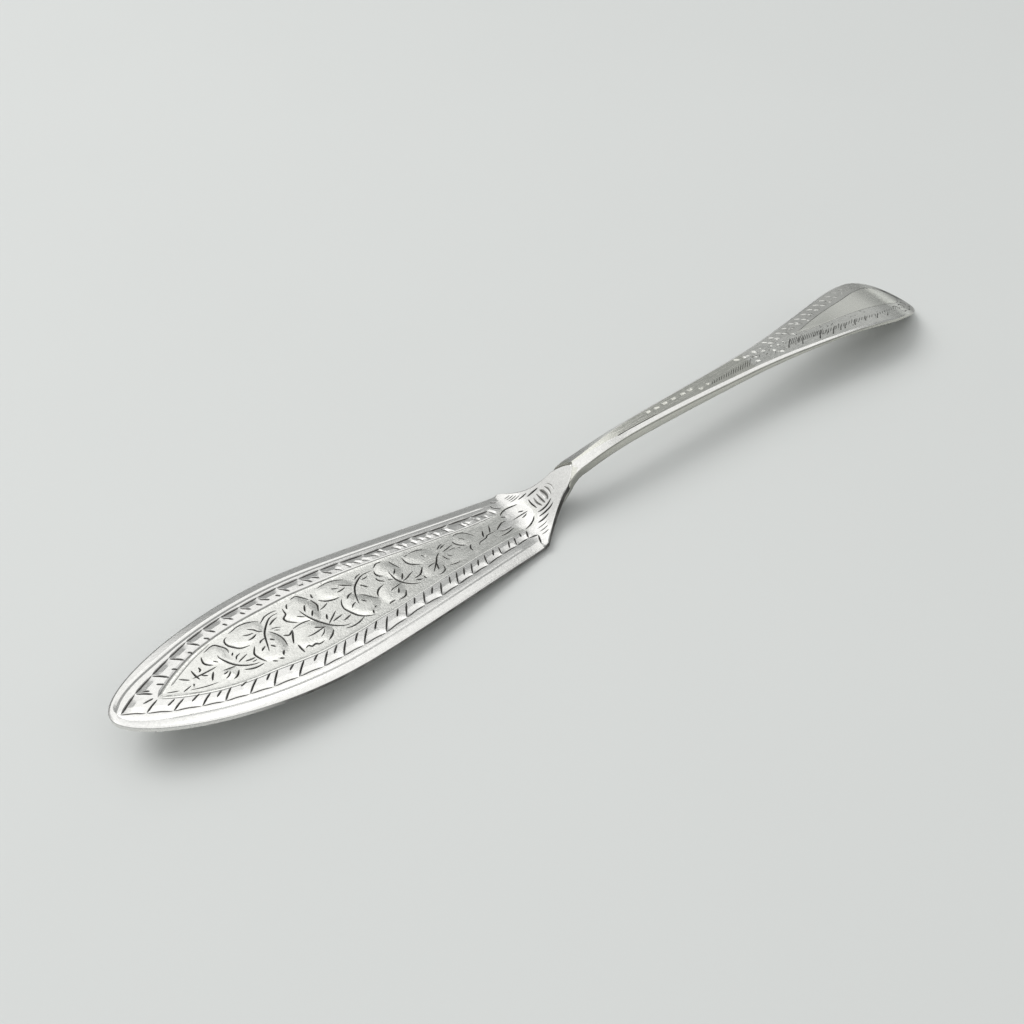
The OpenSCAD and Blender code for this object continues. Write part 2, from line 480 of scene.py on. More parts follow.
def inset(half: Array, distance: Array | float) -> Array:
    """Moves a half outline inward, square to itself.

    Args:
        half: rows of x and y, from front to back, with y positive.
        distance: how far, for all points or for each.

    Returns:
        The moved rows, kept on their side of the middle.
    """
    n = facing(half, (0, 1), (0, -1))
    moved = half - np.asarray(distance, float).reshape(-1, 1) * n
    moved[:, 1] = np.maximum(moved[:, 1], np.minimum(half[:, 1], MIDDLE_GAP))
    return moved


def mirrored_loop(half: Array) -> Array:
    """Closes a half outline, or half ring, with its mirror image across the middle."""
    other = half[::-1].copy()
    other[:, 1] *= -1
    return np.vstack([half, other])


def both_sides(values: Array) -> Array:
    """Values along a half outline, for the whole loop that mirrored_loop makes of it."""
    return np.r_[values, values[::-1]]


def staggered_points(x: Array, y: Array, shift: float) -> Array:
    """Points of a grid in which every other row across is moved.

    Args:
        x: stations along.
        y: stations across.
        shift: how far every other row is moved across.

    Returns:
        Rows of x and y.
    """
    along, across = np.meshgrid(x, y)
    return np.stack([along.ravel(), (across + shift * (np.arange(len(x)) % 2)).ravel()], 1)


# Graver's cuts


class Swell(Enum):
    """How a cut's width runs from its start to its end."""

    LEAF = "fine at both ends"
    TAIL = "full start, fine end"
    EVEN = "even, with short fine ends"

    def widths(self, count: int) -> Array:
        """Share of the full width at each of count points."""
        t = np.linspace(0, 1, count)
        if self is Swell.LEAF:
            return np.sin(math.pi * t) ** 0.5
        if self is Swell.TAIL:
            return np.minimum(1.15 - 0.9 * t, 1) * self.fine_ends(t, 1.0)
        return self.fine_ends(t, 0.6)

    @staticmethod
    def fine_ends(t: Array, slope: float) -> Array:
        """Share that rises over the first points of a run and falls over its last ones."""
        return np.clip((1 - t) * len(t) * slope, 0, 1) * np.clip(t * len(t) * slope, 0, 1)


@dataclass(frozen=True)
class Cut:
    """One drawn cut.

    Attributes:
        points: a few points that it runs through.
        half_width: half its width where it is fullest.
        swell: how its width runs.
        left: extra width of its left wall, for a slanted bright cut.
        right: extra width of its right wall.
        stain: how much dark film stays in it.
    """

    points: tuple[Point, ...]
    half_width: float
    swell: Swell = Swell.LEAF
    left: float = 0.0
    right: float = 0.0
    stain: float = 1.0

    @classmethod
    def unit(cls, half_width: float, bow: float = 0.02, **looks: object) -> "Cut":
        """A cut of unit length along x.

        Args:
            half_width: half its width where it is fullest.
            bow: how far its middle lies to the left.
            looks: its swell, walls and stain.

        Returns:
            The cut.
        """
        return cls(((0, 0), (0.5, bow), (1, 0)), half_width, **looks)


@dataclass
class Groove:
    """A cut as it is carved: a centre line and, at each point, its half width, walls and stain."""

    line: Array
    half_width: Array
    left: Array
    right: Array
    stain: Array

    @classmethod
    def from_cut(cls, cut: Cut, count: int = STROKE_POINTS) -> "Groove":
        """Samples a drawn cut.

        Args:
            cut: the drawn cut.
            count: how many points to sample.

        Returns:
            The groove.
        """
        share = cut.swell.widths(count)
        half = cut.half_width * share
        return cls(
            smooth_path(cut.points, count),
            half,
            half + cut.left * share,
            half + cut.right * share,
            np.full(count, cut.stain),
        )

    @classmethod
    def even(cls, line: Array, half_width: float, stain: float = 1.0, walls: float = 0.0) -> "Groove":
        """A long groove of even width with short fine ends.

        Args:
            line: its centre line.
            half_width: half its width.
            stain: how much dark film stays in it.
            walls: extra width of both walls.

        Returns:
            The groove.
        """
        share = Swell.EVEN.widths(len(line))
        half, wall = half_width * share, (half_width + walls) * share
        return cls(line, half, wall, wall.copy(), np.full(len(line), stain))

    def thinned(self, share: Array) -> "Groove":
        """The same groove with its widths scaled at each point."""
        widths = (width * share for width in (self.half_width, self.left, self.right))
        return Groove(self.line, *widths, self.stain)

    def sides(self) -> list[Array]:
        """Lines beside the groove at its inner points.

        Returns:
            Both sides, and the lines where the film on a wide wall ends.
        """
        d = np.gradient(self.line, axis=0)
        n = np.stack([-d[:, 1], d[:, 0]], 1)
        n /= np.maximum(np.linalg.norm(n, axis=1, keepdims=True), 1e-9)
        wide = WIDE_WALL * self.half_width.max()
        reaches = [self.left, -self.right]
        reaches += [self.half_width] if self.left.max() > wide else []
        reaches += [-self.half_width] if self.right.max() > wide else []
        apart = [np.sign(r + 1e-9) * np.maximum(np.abs(r), LEAST_REACH) for r in reaches]
        return [(self.line + n * reach[:, None])[1:-1] for reach in apart]


def drawn(runs: Sequence[tuple[Point, ...]], half_width: float) -> list[Groove]:
    """Grooves of one weight through given runs of points."""
    return [Groove.from_cut(Cut(run, half_width), max(STROKE_POINTS, 3 * len(run))) for run in runs]


def beside(points: Array, line: Array) -> tuple[Array, Array, Array]:
    """Where points lie beside each straight piece of a line.

    Args:
        points: rows of x and y.
        line: rows of x and y.

    Returns:
        For each point and piece: the share along it, the distance, and whether it is to the left.
    """
    start, run = line[:-1], np.diff(line, axis=0)
    r = points[:, None] - start
    share = np.clip((r * run).sum(2) / np.maximum((run * run).sum(1), 1e-12), 0, 1)
    to_left = run[:, 0] * r[..., 1] - run[:, 1] * r[..., 0] > 0
    return share, np.linalg.norm(r - share[..., None] * run, axis=2), to_left


def away(points: Array, line: Array) -> Array:
    """Least distance of each point from a line."""
    return beside(points, line)[1].min(1)


def carve_depth(points: Array, grooves: Iterable[Groove], steep: float) -> tuple[Array, Array]:
    """Depth and stain of the grooves under given points.

    Args:
        points: rows of x and y.
        grooves: the grooves.
        steep: depth of a groove for its half width.

    Returns:
        The greatest depth, and the darkest stain from 0 to 1, at each point.
    """
    depth, stain = np.zeros(len(points)), np.zeros(len(points))
    for g in grooves:
        reach = max(g.left.max(), g.right.max())
        low, high = g.line.min(0) - reach, g.line.max(0) + reach
        near = np.flatnonzero(((points > low) & (points < high)).all(1))
        if not len(near):
            continue
        share, off, to_left = beside(points[near], g.line)
        half, left, right = (v[:-1] + share * np.diff(v) for v in (g.half_width, g.left, g.right))
        wall = np.maximum(np.where(to_left, left, right), 1e-6)
        depth[near] = np.maximum(depth[near], (steep * half * (1 - off / wall)).max(1))
        full = half / max(g.half_width.max(), 1e-6)
        film = g.stain[:-1] * np.minimum(FILM_GAIN * full, 1) * (1 - off / np.maximum(half, 1e-6))
        stain[near] = np.maximum(stain[near], film.max(1))
    return np.maximum(depth, 0), np.clip(stain, 0, 1)


@dataclass
class Sheet:
    """A carved sheet in plan: points, triangles, depth and stain of the cuts, and its rim's points."""

    plan: Array
    faces: list[tuple[int, int, int]]
    depth: Array
    stain: Array
    rim: Array


def carve_sheet(
    loops: Sequence[Array],
    grooves: Sequence[Groove],
    lines: Sequence[Array],
    fill: Array,
    steep: float,
) -> Sheet:
    """Triangulates a plan outline around its grooves.

    Args:
        loops: closed loops, the outer one first.
        grooves: grooves that stay inside the outer loop.
        lines: other runs of points that triangle edges follow.
        fill: single points that let the sheet bend.
        steep: slope of a groove's walls.

    Returns:
        The sheet, with the grooves' depth at each point.
    """
    rows: list[Array] = []
    edges: list[tuple[int, int]] = []

    def chain(points: Array, closed: bool = False) -> int:
        """Adds a run of points and its edges, and returns its first index."""
        first = sum(len(r) for r in rows)
        rows.append(np.asarray(points, float))
        edges.extend((first + i, first + i + 1) for i in range(len(points) - 1))
        if closed:
            edges.append((first + len(points) - 1, first))
        return first

    for loop in loops:
        chain(loop, closed=True)
    for line in lines:
        chain(line)
    for g in grooves:
        middle = chain(g.line)
        last = middle + len(g.line) - 1
        for side in g.sides():
            first = chain(side)
            edges.append((middle, first))
            edges.append((first + len(side) - 1, last))
    rows.append(fill)
    flat = [Vector(p) for p in np.vstack(rows)]
    found = delaunay_2d_cdt(flat, edges, [], INNER_TRIANGLES, MERGE_DISTANCE)
    plan = np.array([tuple(v) for v in found[0]])
    new_index = {old: new for new, olds in enumerate(found[3]) for old in olds}
    rim = np.array([new_index[i] for i in range(len(loops[0]))])
    return Sheet(plan, [tuple(f) for f in found[2]], *carve_depth(plan, grooves, steep), rim)


def inside(points: Array, loop: Array) -> Array:
    """Which points lie inside a closed loop.

    Args:
        points: rows of x and y.
        loop: rows of x and y, closed by itself.

    Returns:
        A truth value for each point.
    """
    a, b = loop, np.roll(loop, -1, axis=0)
    x, y = points[:, :1], points[:, 1:2]
    crosses = (a[:, 1] > y) != (b[:, 1] > y)
    run = np.where(np.abs(b[:, 1] - a[:, 1]) < 1e-12, 1e-12, b[:, 1] - a[:, 1])
    at = a[:, 0] + (y - a[:, 1]) / run * (b[:, 0] - a[:, 0])
    return ((crosses & (x < at)).sum(1) % 2).astype(bool)


def ease(t: Array) -> Array:
    """Smooth step from 0 to 1."""
    t = np.clip(t, 0, 1)
    return t * t * (3 - 2 * t)


def ramp(x: Array, start: float, length: float) -> Array:
    """Smooth step from 0 to 1 over a length from a start."""
    return ease((x - start) / length)


def kept_inside(grooves: Iterable[Groove], loop: Array) -> list[Groove]:
    """Leaves out grooves that would leave a loop."""
    return [g for g in grooves if inside(np.vstack([g.line, *g.sides()]), loop).all()]


# Ornament drawn in the knife's plan: runs of points, and cuts by the x and y of both ends


NEAR_FEET = (
    (1.75, -0.55), (5.3, -2.6), (9.2, -4.65), (13.6, -6.35), (17.2, -7.6), (21.3, -8.55),
    (25.4, -9.4), (29.9, -9.9), (34.6, -10.3), (38.5, -10.2), (42.7, -10), (47.4, -9.75),
    (52.2, -8.85), (56.6, -8.05), (60.3, -7.95), (64.3, -7.3), (67.9, -6.7), (71.6, -6.25),
    (75.3, -5.55), (79, -5.2), (81.9, -4.75),
)
NEAR_HEADS = (
    (8.1, -0.9), (11.9, -3.1), (16.1, -4.5), (19.5, -5.3), (24, -6), (27.7, -6.4),
    (32.5, -7), (36.8, -7.5), (40.6, -7.2), (45.2, -6.8), (49.6, -6.4), (54, -5.7),
    (58, -5.2), (61.9, -4.9), (65.7, -4.3), (69.2, -4), (72.4, -3.55), (75.8, -3.4),
    (79.7, -3), (82.6, -3),
)
NEAR_TICKS = (
    (5.6, -0.5, 7.6, -0.4), (8.8, -3.2, 10.5, -2.45), (12.5, -4.6, 14.4, -3.7),
    (16.4, -6.1, 17.8, -5.1), (20.7, -6.3, 22.1, -5.8), (24.9, -7.6, 26.3, -6.3),
    (29.2, -7.85, 30.5, -6.85), (33.6, -8.4, 35, -7.2), (37.3, -8.9, 38.8, -7.3),
    (41.7, -8.6, 43.2, -6.9), (45.9, -8.2, 47.4, -6.4), (50.8, -7.75, 52, -6.1),
    (55, -6.9, 55.9, -5.5), (58.9, -6.6, 60, -5.1), (63.1, -6.4, 64, -4.6),
    (66.4, -6, 67.5, -4.2), (69.9, -5.5, 70.8, -4), (73.7, -4.9, 74.6, -3.4),
    (77.4, -5, 78.3, -3.2), (80.9, -3.8, 81.2, -2.7),
)
FAR_FEET = (
    (1.75, -0.5), (5.4, 2.2), (9.4, 4.3), (13.3, 6.15), (17.3, 7.8), (20.9, 8.8), (24.7, 9.6),
    (28.6, 9.9), (32.3, 10.2), (36.3, 10.35), (40.6, 10.15), (44.9, 9.95), (48.8, 9.55),
    (53.6, 8.8), (57, 8.45), (60.1, 8.05), (63.4, 7.75), (67, 7.2), (70.8, 6.7),
    (75.9, 6), (79.6, 5.55),
)
FAR_CUTS = (
    (5.4, 2.15, 7.9, 0.4), (9.2, 4.2, 11.7, 2.15), (13.2, 6, 15.4, 4.2),
    (17.1, 7.5, 19, 5.7), (21, 8.5, 22.6, 6.9), (24.9, 9.4, 26.5, 7.8),
    (28.5, 9.6, 30.2, 8.2), (32.3, 9.6, 34, 8.4), (36.3, 10.1, 38, 8.2),
    (40.8, 9.9, 42.5, 7.9), (42.6, 9.3, 44, 8.1), (45, 9.2, 46.5, 7.8),
    (47.2, 8.7, 48.3, 7.7), (49, 9.1, 50.2, 7.4), (51, 8.2, 52, 7.3),
    (52.5, 7.9, 53.6, 7.1), (54.6, 8, 55.7, 7.1), (56.1, 8.4, 57.4, 7),
    (58.8, 7.7, 60.2, 6), (60.3, 7.7, 61.4, 5.9), (62.6, 6.9, 63.4, 5.6),
    (64, 7, 64.9, 5.7), (65.4, 6.6, 66.4, 5.4), (67, 6.7, 68.1, 5),
    (69.3, 6.6, 70.2, 4.8), (72.8, 5.9, 73.6, 4.3), (73.7, 5.5, 74.6, 4.4),
    (75.8, 5.3, 76.8, 4.4), (77.5, 5.2, 78.5, 4.1), (79.5, 5.4, 80.4, 4),
)
FAR_TICKS = (
    (6.5, 2.05, 7.7, 1.3), (9.1, 2.1, 10.3, 1.3), (12.6, 3.65, 13.6, 3.1),
    (16.5, 5.5, 17.2, 4.95), (20.1, 6.9, 21.1, 6.1), (24.3, 8, 25, 7.2),
    (28, 8.7, 28.8, 7.8), (31.3, 8.9, 32.3, 8), (35.2, 8.9, 36, 8.2),
    (39.8, 8.6, 40.8, 8.45),
)
FAR_INNER_LINE = (
    (8.2, -0.6), (10, 0.9), (13, 2.9), (17, 4.9), (21, 6.1), (25, 6.85), (29, 7.3),
    (33, 7.55), (37, 7.75), (41, 7.6), (45, 7.35), (49, 7.05), (55, 6.4),
    (58, 6), (62, 5.45), (65, 5), (69, 4.6), (72, 4.2), (76, 3.9), (80, 3.8),
)
NEAR_INNER_LINE = (
    (8.2, -0.9), (12, -2.9), (16, -4.5), (20, -5.6), (24, -6.2), (28, -6.5),
    (32, -7), (36, -7.3), (40, -7.1), (44, -6.8), (48, -6.3), (52, -6),
    (56, -5.4), (60, -4.9), (64, -4.3), (68, -3.9), (72, -3.4), (76, -3.1),
    (80, -2.9),
)
FAR_SECOND_LINE = ((11, 0.4), (14, 2.3), (17, 3.9), (20.6, 5.3))
FIELD_HEEL = (
    (82, 4.5), (84.5, 4.4), (86.4, 3), (87, 0.8), (86.6, -1.2), (84.8, -2.8), (82.5, -3.1),
)
HEEL_LEAF = (
    (78, 0.35), (79.2, 1.05), (80.8, 1.5), (81.2, 3.1), (83, 4), (85.2, 3.5), (86.4, 1.4),
    (86, -0.9), (84.2, -2.25), (82.6, -2.6), (81.4, -1.2), (79.4, -0.6),
)
VINE_BOLD = (
    ((14.5, -0.15), (17, -0.15), (19.5, 0)),
    ((15.25, 1.7), (15.4, 0.35), (15.75, -1.1)),
    ((16.6, 1.6), (16.65, 0.85), (16.2, 0.45)),
    ((18.4, -0.65), (17.8, -1.6), (17.35, -2.5)),
    ((20.5, 2.25), (20.5, 1.3), (21.5, -0.6), (22.35, -1.65), (23.7, -2.65), (25, -3.15),
     (26, -3.3)),
    ((22.85, -3.2), (24, -3.75), (25, -3.95), (26.5, -3.9)),
    ((18, 3.4), (17.75, 2.35), (17.85, 1.6), (18.35, 1), (19.1, 0.5)),
    ((19.5, -2.3), (20, -2.2), (20.5, -2)),
    ((20.5, -4.1), (21.25, -3.85), (21.8, -3.3), (22.2, -2.7)),
    ((23.8, -1.65), (24.8, -1.85), (25.8, -1.9)),
    ((23.75, 4.9), (23.2, 4.8), (22.8, 4.2), (22.9, 3.2), (23.6, 2.2), (24.6, 1.3), (26.3, 1)),
    ((26.3, 2.1), (27.2, 2.2), (28.3, 2.65)),
    ((33.8, 5), (32.3, 4.9), (31.25, 4.25), (29.8, 2.5), (29.2, 1.2), (28.8, -0.3),
     (28.25, -2.3)),
    ((33.1, 4.15), (32.2, 3.9), (31, 3.15)),
    ((26.8, 0.5), (26.2, -0.5), (25.9, -1.2), (26.25, -2.5), (27, -3.9)),
    ((29.1, -4.4), (29.45, -4.6), (29.8, -4.8)),
    ((30.7, -3.25), (30.3, -3.6), (30, -4.25)),
    ((27.75, 0.35), (28.2, 0.85), (29.1, 1.1)),
    ((27.25, -1.4), (27.7, -1), (28.3, -0.65)),
    ((29.6, 0.4), (29.95, 0), (30.3, -0.4)),
    ((29.1, -1), (29.45, -1.4), (29.8, -1.85)),
    ((34.8, 5.5), (34.7, 4.7), (34.65, 3.85), (33.9, 3.2), (34.1, 2.3), (34.8, 1.6), (35.7, 0.9)),
    ((39.9, 4.6), (40.2, 3.7), (40.4, 2.7), (39.75, 1.1)),
    ((40.7, 5.7), (40.55, 5.1), (40.6, 4.5)),
    ((37, 3.6), (37.25, 2.3), (38, 0.35), (39.8, -2.3), (40.8, -3.3), (42.2, -4.2),
     (43.5, -4.4)),
    ((38.5, 4), (38.1, 3.2), (37.75, 2.35)),
    ((39.1, 2.1), (38.7, 1.4), (38.3, 0.75)),
    ((31.9, -0.15), (32.8, -0.65), (33.3, -0.5), (34, 0.1)),
    ((34, 0), (33.3, -1.35), (32.6, -3)),
    ((33.1, -3.4), (33.25, -4.7), (33.4, -5.75)),
    ((33.8, -5), (34.6, -4.7), (35, -5.15), (35.8, -5), (36.4, -5.4), (37.6, -5.2)),
    ((38.1, -5.6), (39.3, -4.8), (40.1, -3.8)),
    ((35.2, -2.85), (36.3, -2.95), (37.7, -2.75), (39.4, -2.45)),
    ((37.25, -1.6), (38.3, -2.2), (38.9, -2.5)),
    ((40.8, 0), (40.5, -0.6), (40.2, -1.3)),
    ((40.8, -2.25), (42, -1.9), (43.2, -1.65)),
    ((41.8, -4.8), (43.2, -5.1), (44.7, -4.9), (46.2, -4.25)),
    ((42.5, -3.1), (43.3, -2.9), (44.4, -2.5)),
    ((41, 3.75), (42, 2.8), (43.3, 2.25), (44.8, 2.1)),
    ((45.7, 4.9), (46.8, 4.1), (48.2, 3.3)),
    ((44.8, 3.25), (45.7, 3.4), (46.7, 3.6)),
    ((53, 4.5), (51.7, 4.65), (50.3, 4.4), (48.5, 3.1), (47.7, 1.85), (47.2, 0.5),
     (46.7, -1.5)),
    ((50.1, 3.6), (50.8, 3.7), (51.5, 3.8)),
    ((49.2, 2.75), (49.8, 2), (50.25, 1.25)),
    ((44.9, 1.7), (44.3, 0.85), (44, -0.35), (44.2, -1.3), (45.2, -3.3), (46.3, -4.3),
     (48, -5.1)),
    ((47.9, -4.7), (48, -4.3), (48.2, -3.9)),
    ((45.6, 0.85), (46.2, 1.6), (47.2, 1.9)),
    ((47.5, -0.6), (47.9, -1.1), (48.25, -1.6)),
    ((50.7, -1.7), (50.8, -1), (51.4, -0.25), (52.2, 0.2), (53, 0.35)),
    ((51.3, -4.3), (51.8, -4.1), (52.8, -4)),
    ((53.2, -4.4), (54.7, -4.2), (55.2, -3.7), (55.7, -2.85)),
    ((54.75, -1.85), (54.4, -2.5), (54, -3.1)),
    ((55.1, 2.6), (55.25, 1.5), (55.4, 0.2), (56, -1), (57, -2.1), (58, -2.75),
     (59, -3.1)),
    ((57.3, 0.9), (56.8, 0.2), (56.3, -0.5)),
    ((53.1, 4.3), (52.95, 3.5), (53.2, 2.75), (54, 2.1)),
    ((52.5, 2.6), (52.6, 1.8), (53.5, 0.85)),
    ((58.25, -1.9), (59, -2.2), (59.7, -2.5)),
    ((61.2, 0.3), (60.3, -0.8), (59.7, -1.25), (58.3, -1.5)),
    ((59.1, 4.5), (59.2, 2.8), (59.8, 1.8), (61.4, 0.75)),
    ((65.8, 1.6), (64.8, 0.85), (64, -0.2), (63.3, -1), (62.2, -2.2)),
    ((63.9, -0.5), (63.6, -1.3), (63.3, -2.2)),
    ((69.25, 2.7), (69.4, 1.8), (70, 1), (71, 0.25)),
    ((72, 0), (71.5, -0.4), (71.3, -1), (71.4, -1.7)),
    ((75.7, 1.85), (75.2, 0.85), (74.9, 0.1)),
    ((78, 0.25), (78.8, 0.85), (80, 1.5), (81, 1.35)),
    ((77.7, -1.4), (79.3, -1.35), (81.4, -0.9)),
)
VINE_MIDDLING = (
    ((12.7, 1.1), (13.5, 0.4), (14.3, -0.25)),
    ((16.3, -0.3), (16.8, -0.7), (17.3, -1)),
    ((12.25, -1.9), (13, -1.65), (14, -1.35)),
    ((14.5, -1.2), (14.4, -1.5), (14.25, -1.75)),
    ((18.6, 3.85), (20.7, 4.6), (21.85, 3.5), (22.5, 2.35), (22.2, 1.35)),
    ((19.7, -1.4), (21, -1.6), (22.2, -1.75)),
    ((19.4, -3.3), (20.2, -3), (20.85, -2.25)),
    ((22.7, -0.6), (23.2, 0.15), (24, 0.4)),
    ((22.75, -1.35), (23.7, -0.85), (25, -0.35)),
    ((22.5, 0.6), (22.75, 0.95), (23, 1.25)),
    ((24, 5.4), (25, 5.7), (26.3, 6.1), (27.8, 6), (29, 5.6), (30, 5)),
    ((26, 3.65), (26.8, 3.25), (28, 3.1)),
    ((27.2, 4.6), (28.2, 3.8), (28.75, 3), (29.6, 2.6)),
    ((33.8, 5.6), (32.5, 5.75), (31.3, 5.5), (30.5, 4.9), (29.8, 4.4)),
    ((30.2, 2.1), (30.8, 1.35), (31.4, 0.25), (31.7, -1), (31.6, -2.8)),
    ((27.8, -4.2), (28.2, -4.5), (28.6, -4.8)),
    ((36, 6), (35.6, 5.4), (35.4, 4.7)),
    ((36.8, 6.4), (38, 6.75), (38.8, 6), (39.9, 4.5)),
    ((36, 2.35), (36.6, 1.85), (37.2, 1.35)),
    ((40.2, 1.4), (41.2, 1.7), (42.25, 2.25)),
    ((34, 0.1), (35, 0.4), (36.3, 0.5), (37.8, 0.2)),
    ((39.9, -2.4), (41, -1.5), (42.6, -0.2)),
    ((42, 6.2), (43.2, 6.4), (44.3, 6.5), (45.7, 6.25), (47.6, 5.4)),
    ((44.2, 4.7), (44.8, 4.4), (45.5, 4)),
    ((49, 4.3), (49.8, 4.85), (50.8, 5.1)),
    ((47.8, 0.85), (48.8, 0), (49.7, -1.2), (50.6, -2.1)),
    ((48.7, -3.6), (48.95, -3.4), (49.2, -3.25)),
    ((45.2, -1.5), (45.8, -0.85), (46.6, -0.5)),
    ((53.1, -1.85), (53.8, -1.5), (54.8, -1.3), (55.8, -1.05)),
    ((56.1, -1), (57.3, -0.6), (58.3, -0.1), (59.2, 0.25)),
    ((56.5, 5), (57, 3.5), (57.6, 2.1)),
    ((53.3, 4.8), (53.8, 5.2), (54.4, 5.6), (55.6, 5.5)),
    ((55.6, 1.3), (56.2, 2), (56.7, 2.6)),
    ((60.1, -1.9), (60.2, -2.3), (60.35, -2.8)),
    ((59.5, 4.3), (59.9, 4.25), (60.4, 4.4)),
    ((60.4, 4.4), (62, 4.4), (63.2, 4), (64.3, 3.2)),
    ((62.5, 2.8), (62.6, 2.5), (62.8, 2.2)),
    ((67.5, 3.25), (66.5, 2.85), (65.7, 2.25)),
    ((67.8, 2.75), (67, 2.55), (66.2, 2.1)),
    ((61.8, -0.65), (62.7, -0.35), (63.7, -0.2)),
    ((66.3, 1.2), (67.7, 1.6), (69, 1.9)),
    ((64.6, -1.3), (64.5, -2.3), (64, -3), (62.5, -3.3)),
    ((65.7, 0.5), (66.1, -0.7), (66.5, -1.1)),
    ((66.6, 0.2), (67, -0.25), (67.3, -0.7)),
    ((65.5, -2.2), (66.5, -2.5), (68, -2.6)),
    ((69.9, 3.6), (71, 3.8), (72.3, 3.3), (73.2, 2.2), (73.7, 1.25)),
    ((77.5, 2.4), (77, 1.2), (76.5, 0.35)),
    ((73, -1.2), (73.5, -0.65), (74.3, -0.35), (75.2, -0.2), (76, 0.3), (78, 0.25)),
    ((78.2, 0), (79.2, -0.5), (81.2, -0.5)),
)
VINE_FINE = (
    ((9.8, -0.5), (10.8, -0.9), (11.9, -1.3)),
    ((19.25, 1.4), (19.6, 1), (20, 0.6)),
    ((24.8, -2.5), (25.3, -2.5), (25.8, -2.5)),
    ((30.6, 2.3), (31.7, 2.15), (32.7, 1.65)),
    ((31.2, 1.8), (31.7, 1.5), (32.2, 1.2)),
    ((38.8, -2.8), (38.3, -3.6), (37.3, -4.3)),
    ((54, 1), (54.5, 0.7), (55, 0.5)),
    ((67.4, 0.9), (68.3, 1), (69.1, 0.7)),
    ((69.3, 0.65), (69.5, 0.5), (69.8, 0.4)),
    ((70.6, 2.6), (71.2, 2.1), (71.6, 1.4)),
    ((13.2, -2.1), (14.8, -2.6), (16.3, -3), (18.3, -3.3)),
)
VINE_LEAVES = (
    ((19.1, 0.5), (17.85, 1.6), (18, 3.4), (20.7, 4.6), (22.5, 2.35), (22.2, 1.3),
     (22.3, -1.2), (21.5, -0.6)),
    ((22.2, -1.7), (19.6, -1.3), (18.8, -2.2), (19.3, -3.4), (20.5, -4.1), (21.5, -3.7),
     (22.2, -2.7)),
    ((23.75, 4.9), (22.8, 4.2), (23.6, 2.2), (26.3, 1), (29.6, 2.5), (30, 5), (27.8, 6),
     (25, 5.7)),
    ((26.8, 0.5), (25.9, -1.2), (27, -3.9), (29.8, -4.8), (31.6, -2.8), (31.4, 0.25),
     (30.2, 2.1), (28, 1.2)),
    ((34.8, 5.5), (33.9, 3.2), (35.7, 0.9), (39, -0.9), (40.4, 2.7), (38.8, 6),
     (38, 6.75), (36.5, 6.4)),
    ((34, 0), (36.3, 0.5), (37.8, 0.2), (39.8, -2.3), (40.1, -3.8), (38.1, -5.6),
     (33.8, -5), (32.6, -3)),
    ((41, 3.75), (43.3, 2.25), (44.8, 2.1), (48.2, 3.2), (47.6, 5.4), (45.7, 6.25),
     (44.3, 6.5), (42, 6.2)),
    ((44.9, 1.7), (44, -0.35), (45.2, -3.3), (48, -5.1), (50.6, -2.1), (48.8, 0),
     (47.8, 0.9), (46.5, 1.9)),
    ((50.7, -1.7), (51.4, -0.25), (53, 0.35), (55, 0.2), (55.9, -1), (55.7, -2.85),
     (54.7, -4.2), (51.3, -4.3)),
    ((53.3, 4.8), (52.95, 3.5), (54, 2.1), (56, -0.9), (57.3, 0.9), (57.6, 2.1),
     (56.5, 5), (54.4, 5.6)),
    ((59.1, 4.5), (59.2, 2.8), (61.4, 0.75), (63.5, 0.9), (65, 1.3), (64.3, 3.2), (62, 4.4),
     (60.4, 4.4)),
    ((61.2, 0.3), (60.3, -0.8), (60.35, -2.8), (62.5, -3.3), (64, -3), (64.6, -1.3),
     (64.2, 0), (63, 0.5)),
    ((69.25, 2.7), (70, 1), (71, 0.25), (72.6, 0.4), (73.7, 1.25), (72.3, 3.3),
     (71, 3.8), (69.9, 3.6)),
    ((66, -0.9), (67.5, -0.3), (69.5, 0.3), (71.4, -0.3), (71.3, -1.7), (69.8, -2.5),
     (68, -2.6), (66.5, -2.5)),
)
SHOULDER_BOLD = (
    ((80.7, 3), (81.2, 3.5), (82, 3.9), (83, 4), (85.2, 3.5)),
    ((80.7, 2.85), (81.1, 2.55), (81.5, 2.25)),
    ((85.9, -1), (85.2, -1.7), (84, -2.3), (82.7, -2.6)),
    ((82, -4.85), (82.9, -5), (83.8, -5.25)),
    ((83.8, -5.25), (83.4, -6.3), (83, -7.4)),
    ((81.3, 7.5), (81.6, 6.95), (82.3, 6.5)),
    ((83, -7.5), (83.7, -7.62), (84.3, -7.45)),
    ((87.25, 3.3), (88.5, 3.1), (89.7, 2.7)),
    ((86.7, -1), (87.5, -1.3), (88.8, -1.45), (90, -1.2)),
    ((86.3, -2), (87.7, -2.2), (89, -2.3), (89.8, -2.1)),
    ((85.3, -2.95), (86.7, -3.1), (88.1, -3)),
)
SHOULDER_MIDDLING = (
    ((82, 0.75), (83.8, 0.85), (85.8, 0.7)),
    ((84, 1.85), (84.5, 1.6), (85.1, 1.3)),
    ((83.8, 0.1), (84.5, 0.2), (85.2, 0.4)),
    ((85.7, 4.2), (86.7, 4.1), (87.8, 4)),
    ((80.8, 6.6), (80.8, 5.8), (82.1, 4.6)),
    ((87.2, 2.8), (87.05, 1.4), (87.2, -0.3)),
)
PANEL_FAR_SIDE = (
    (155.3, 0.6), (158, 1.2), (162, 1.95), (166, 2.5), (170, 3), (173, 3.65),
    (176, 4.25), (180, 4.6), (183.5, 4), (186.3, 1.8),
)
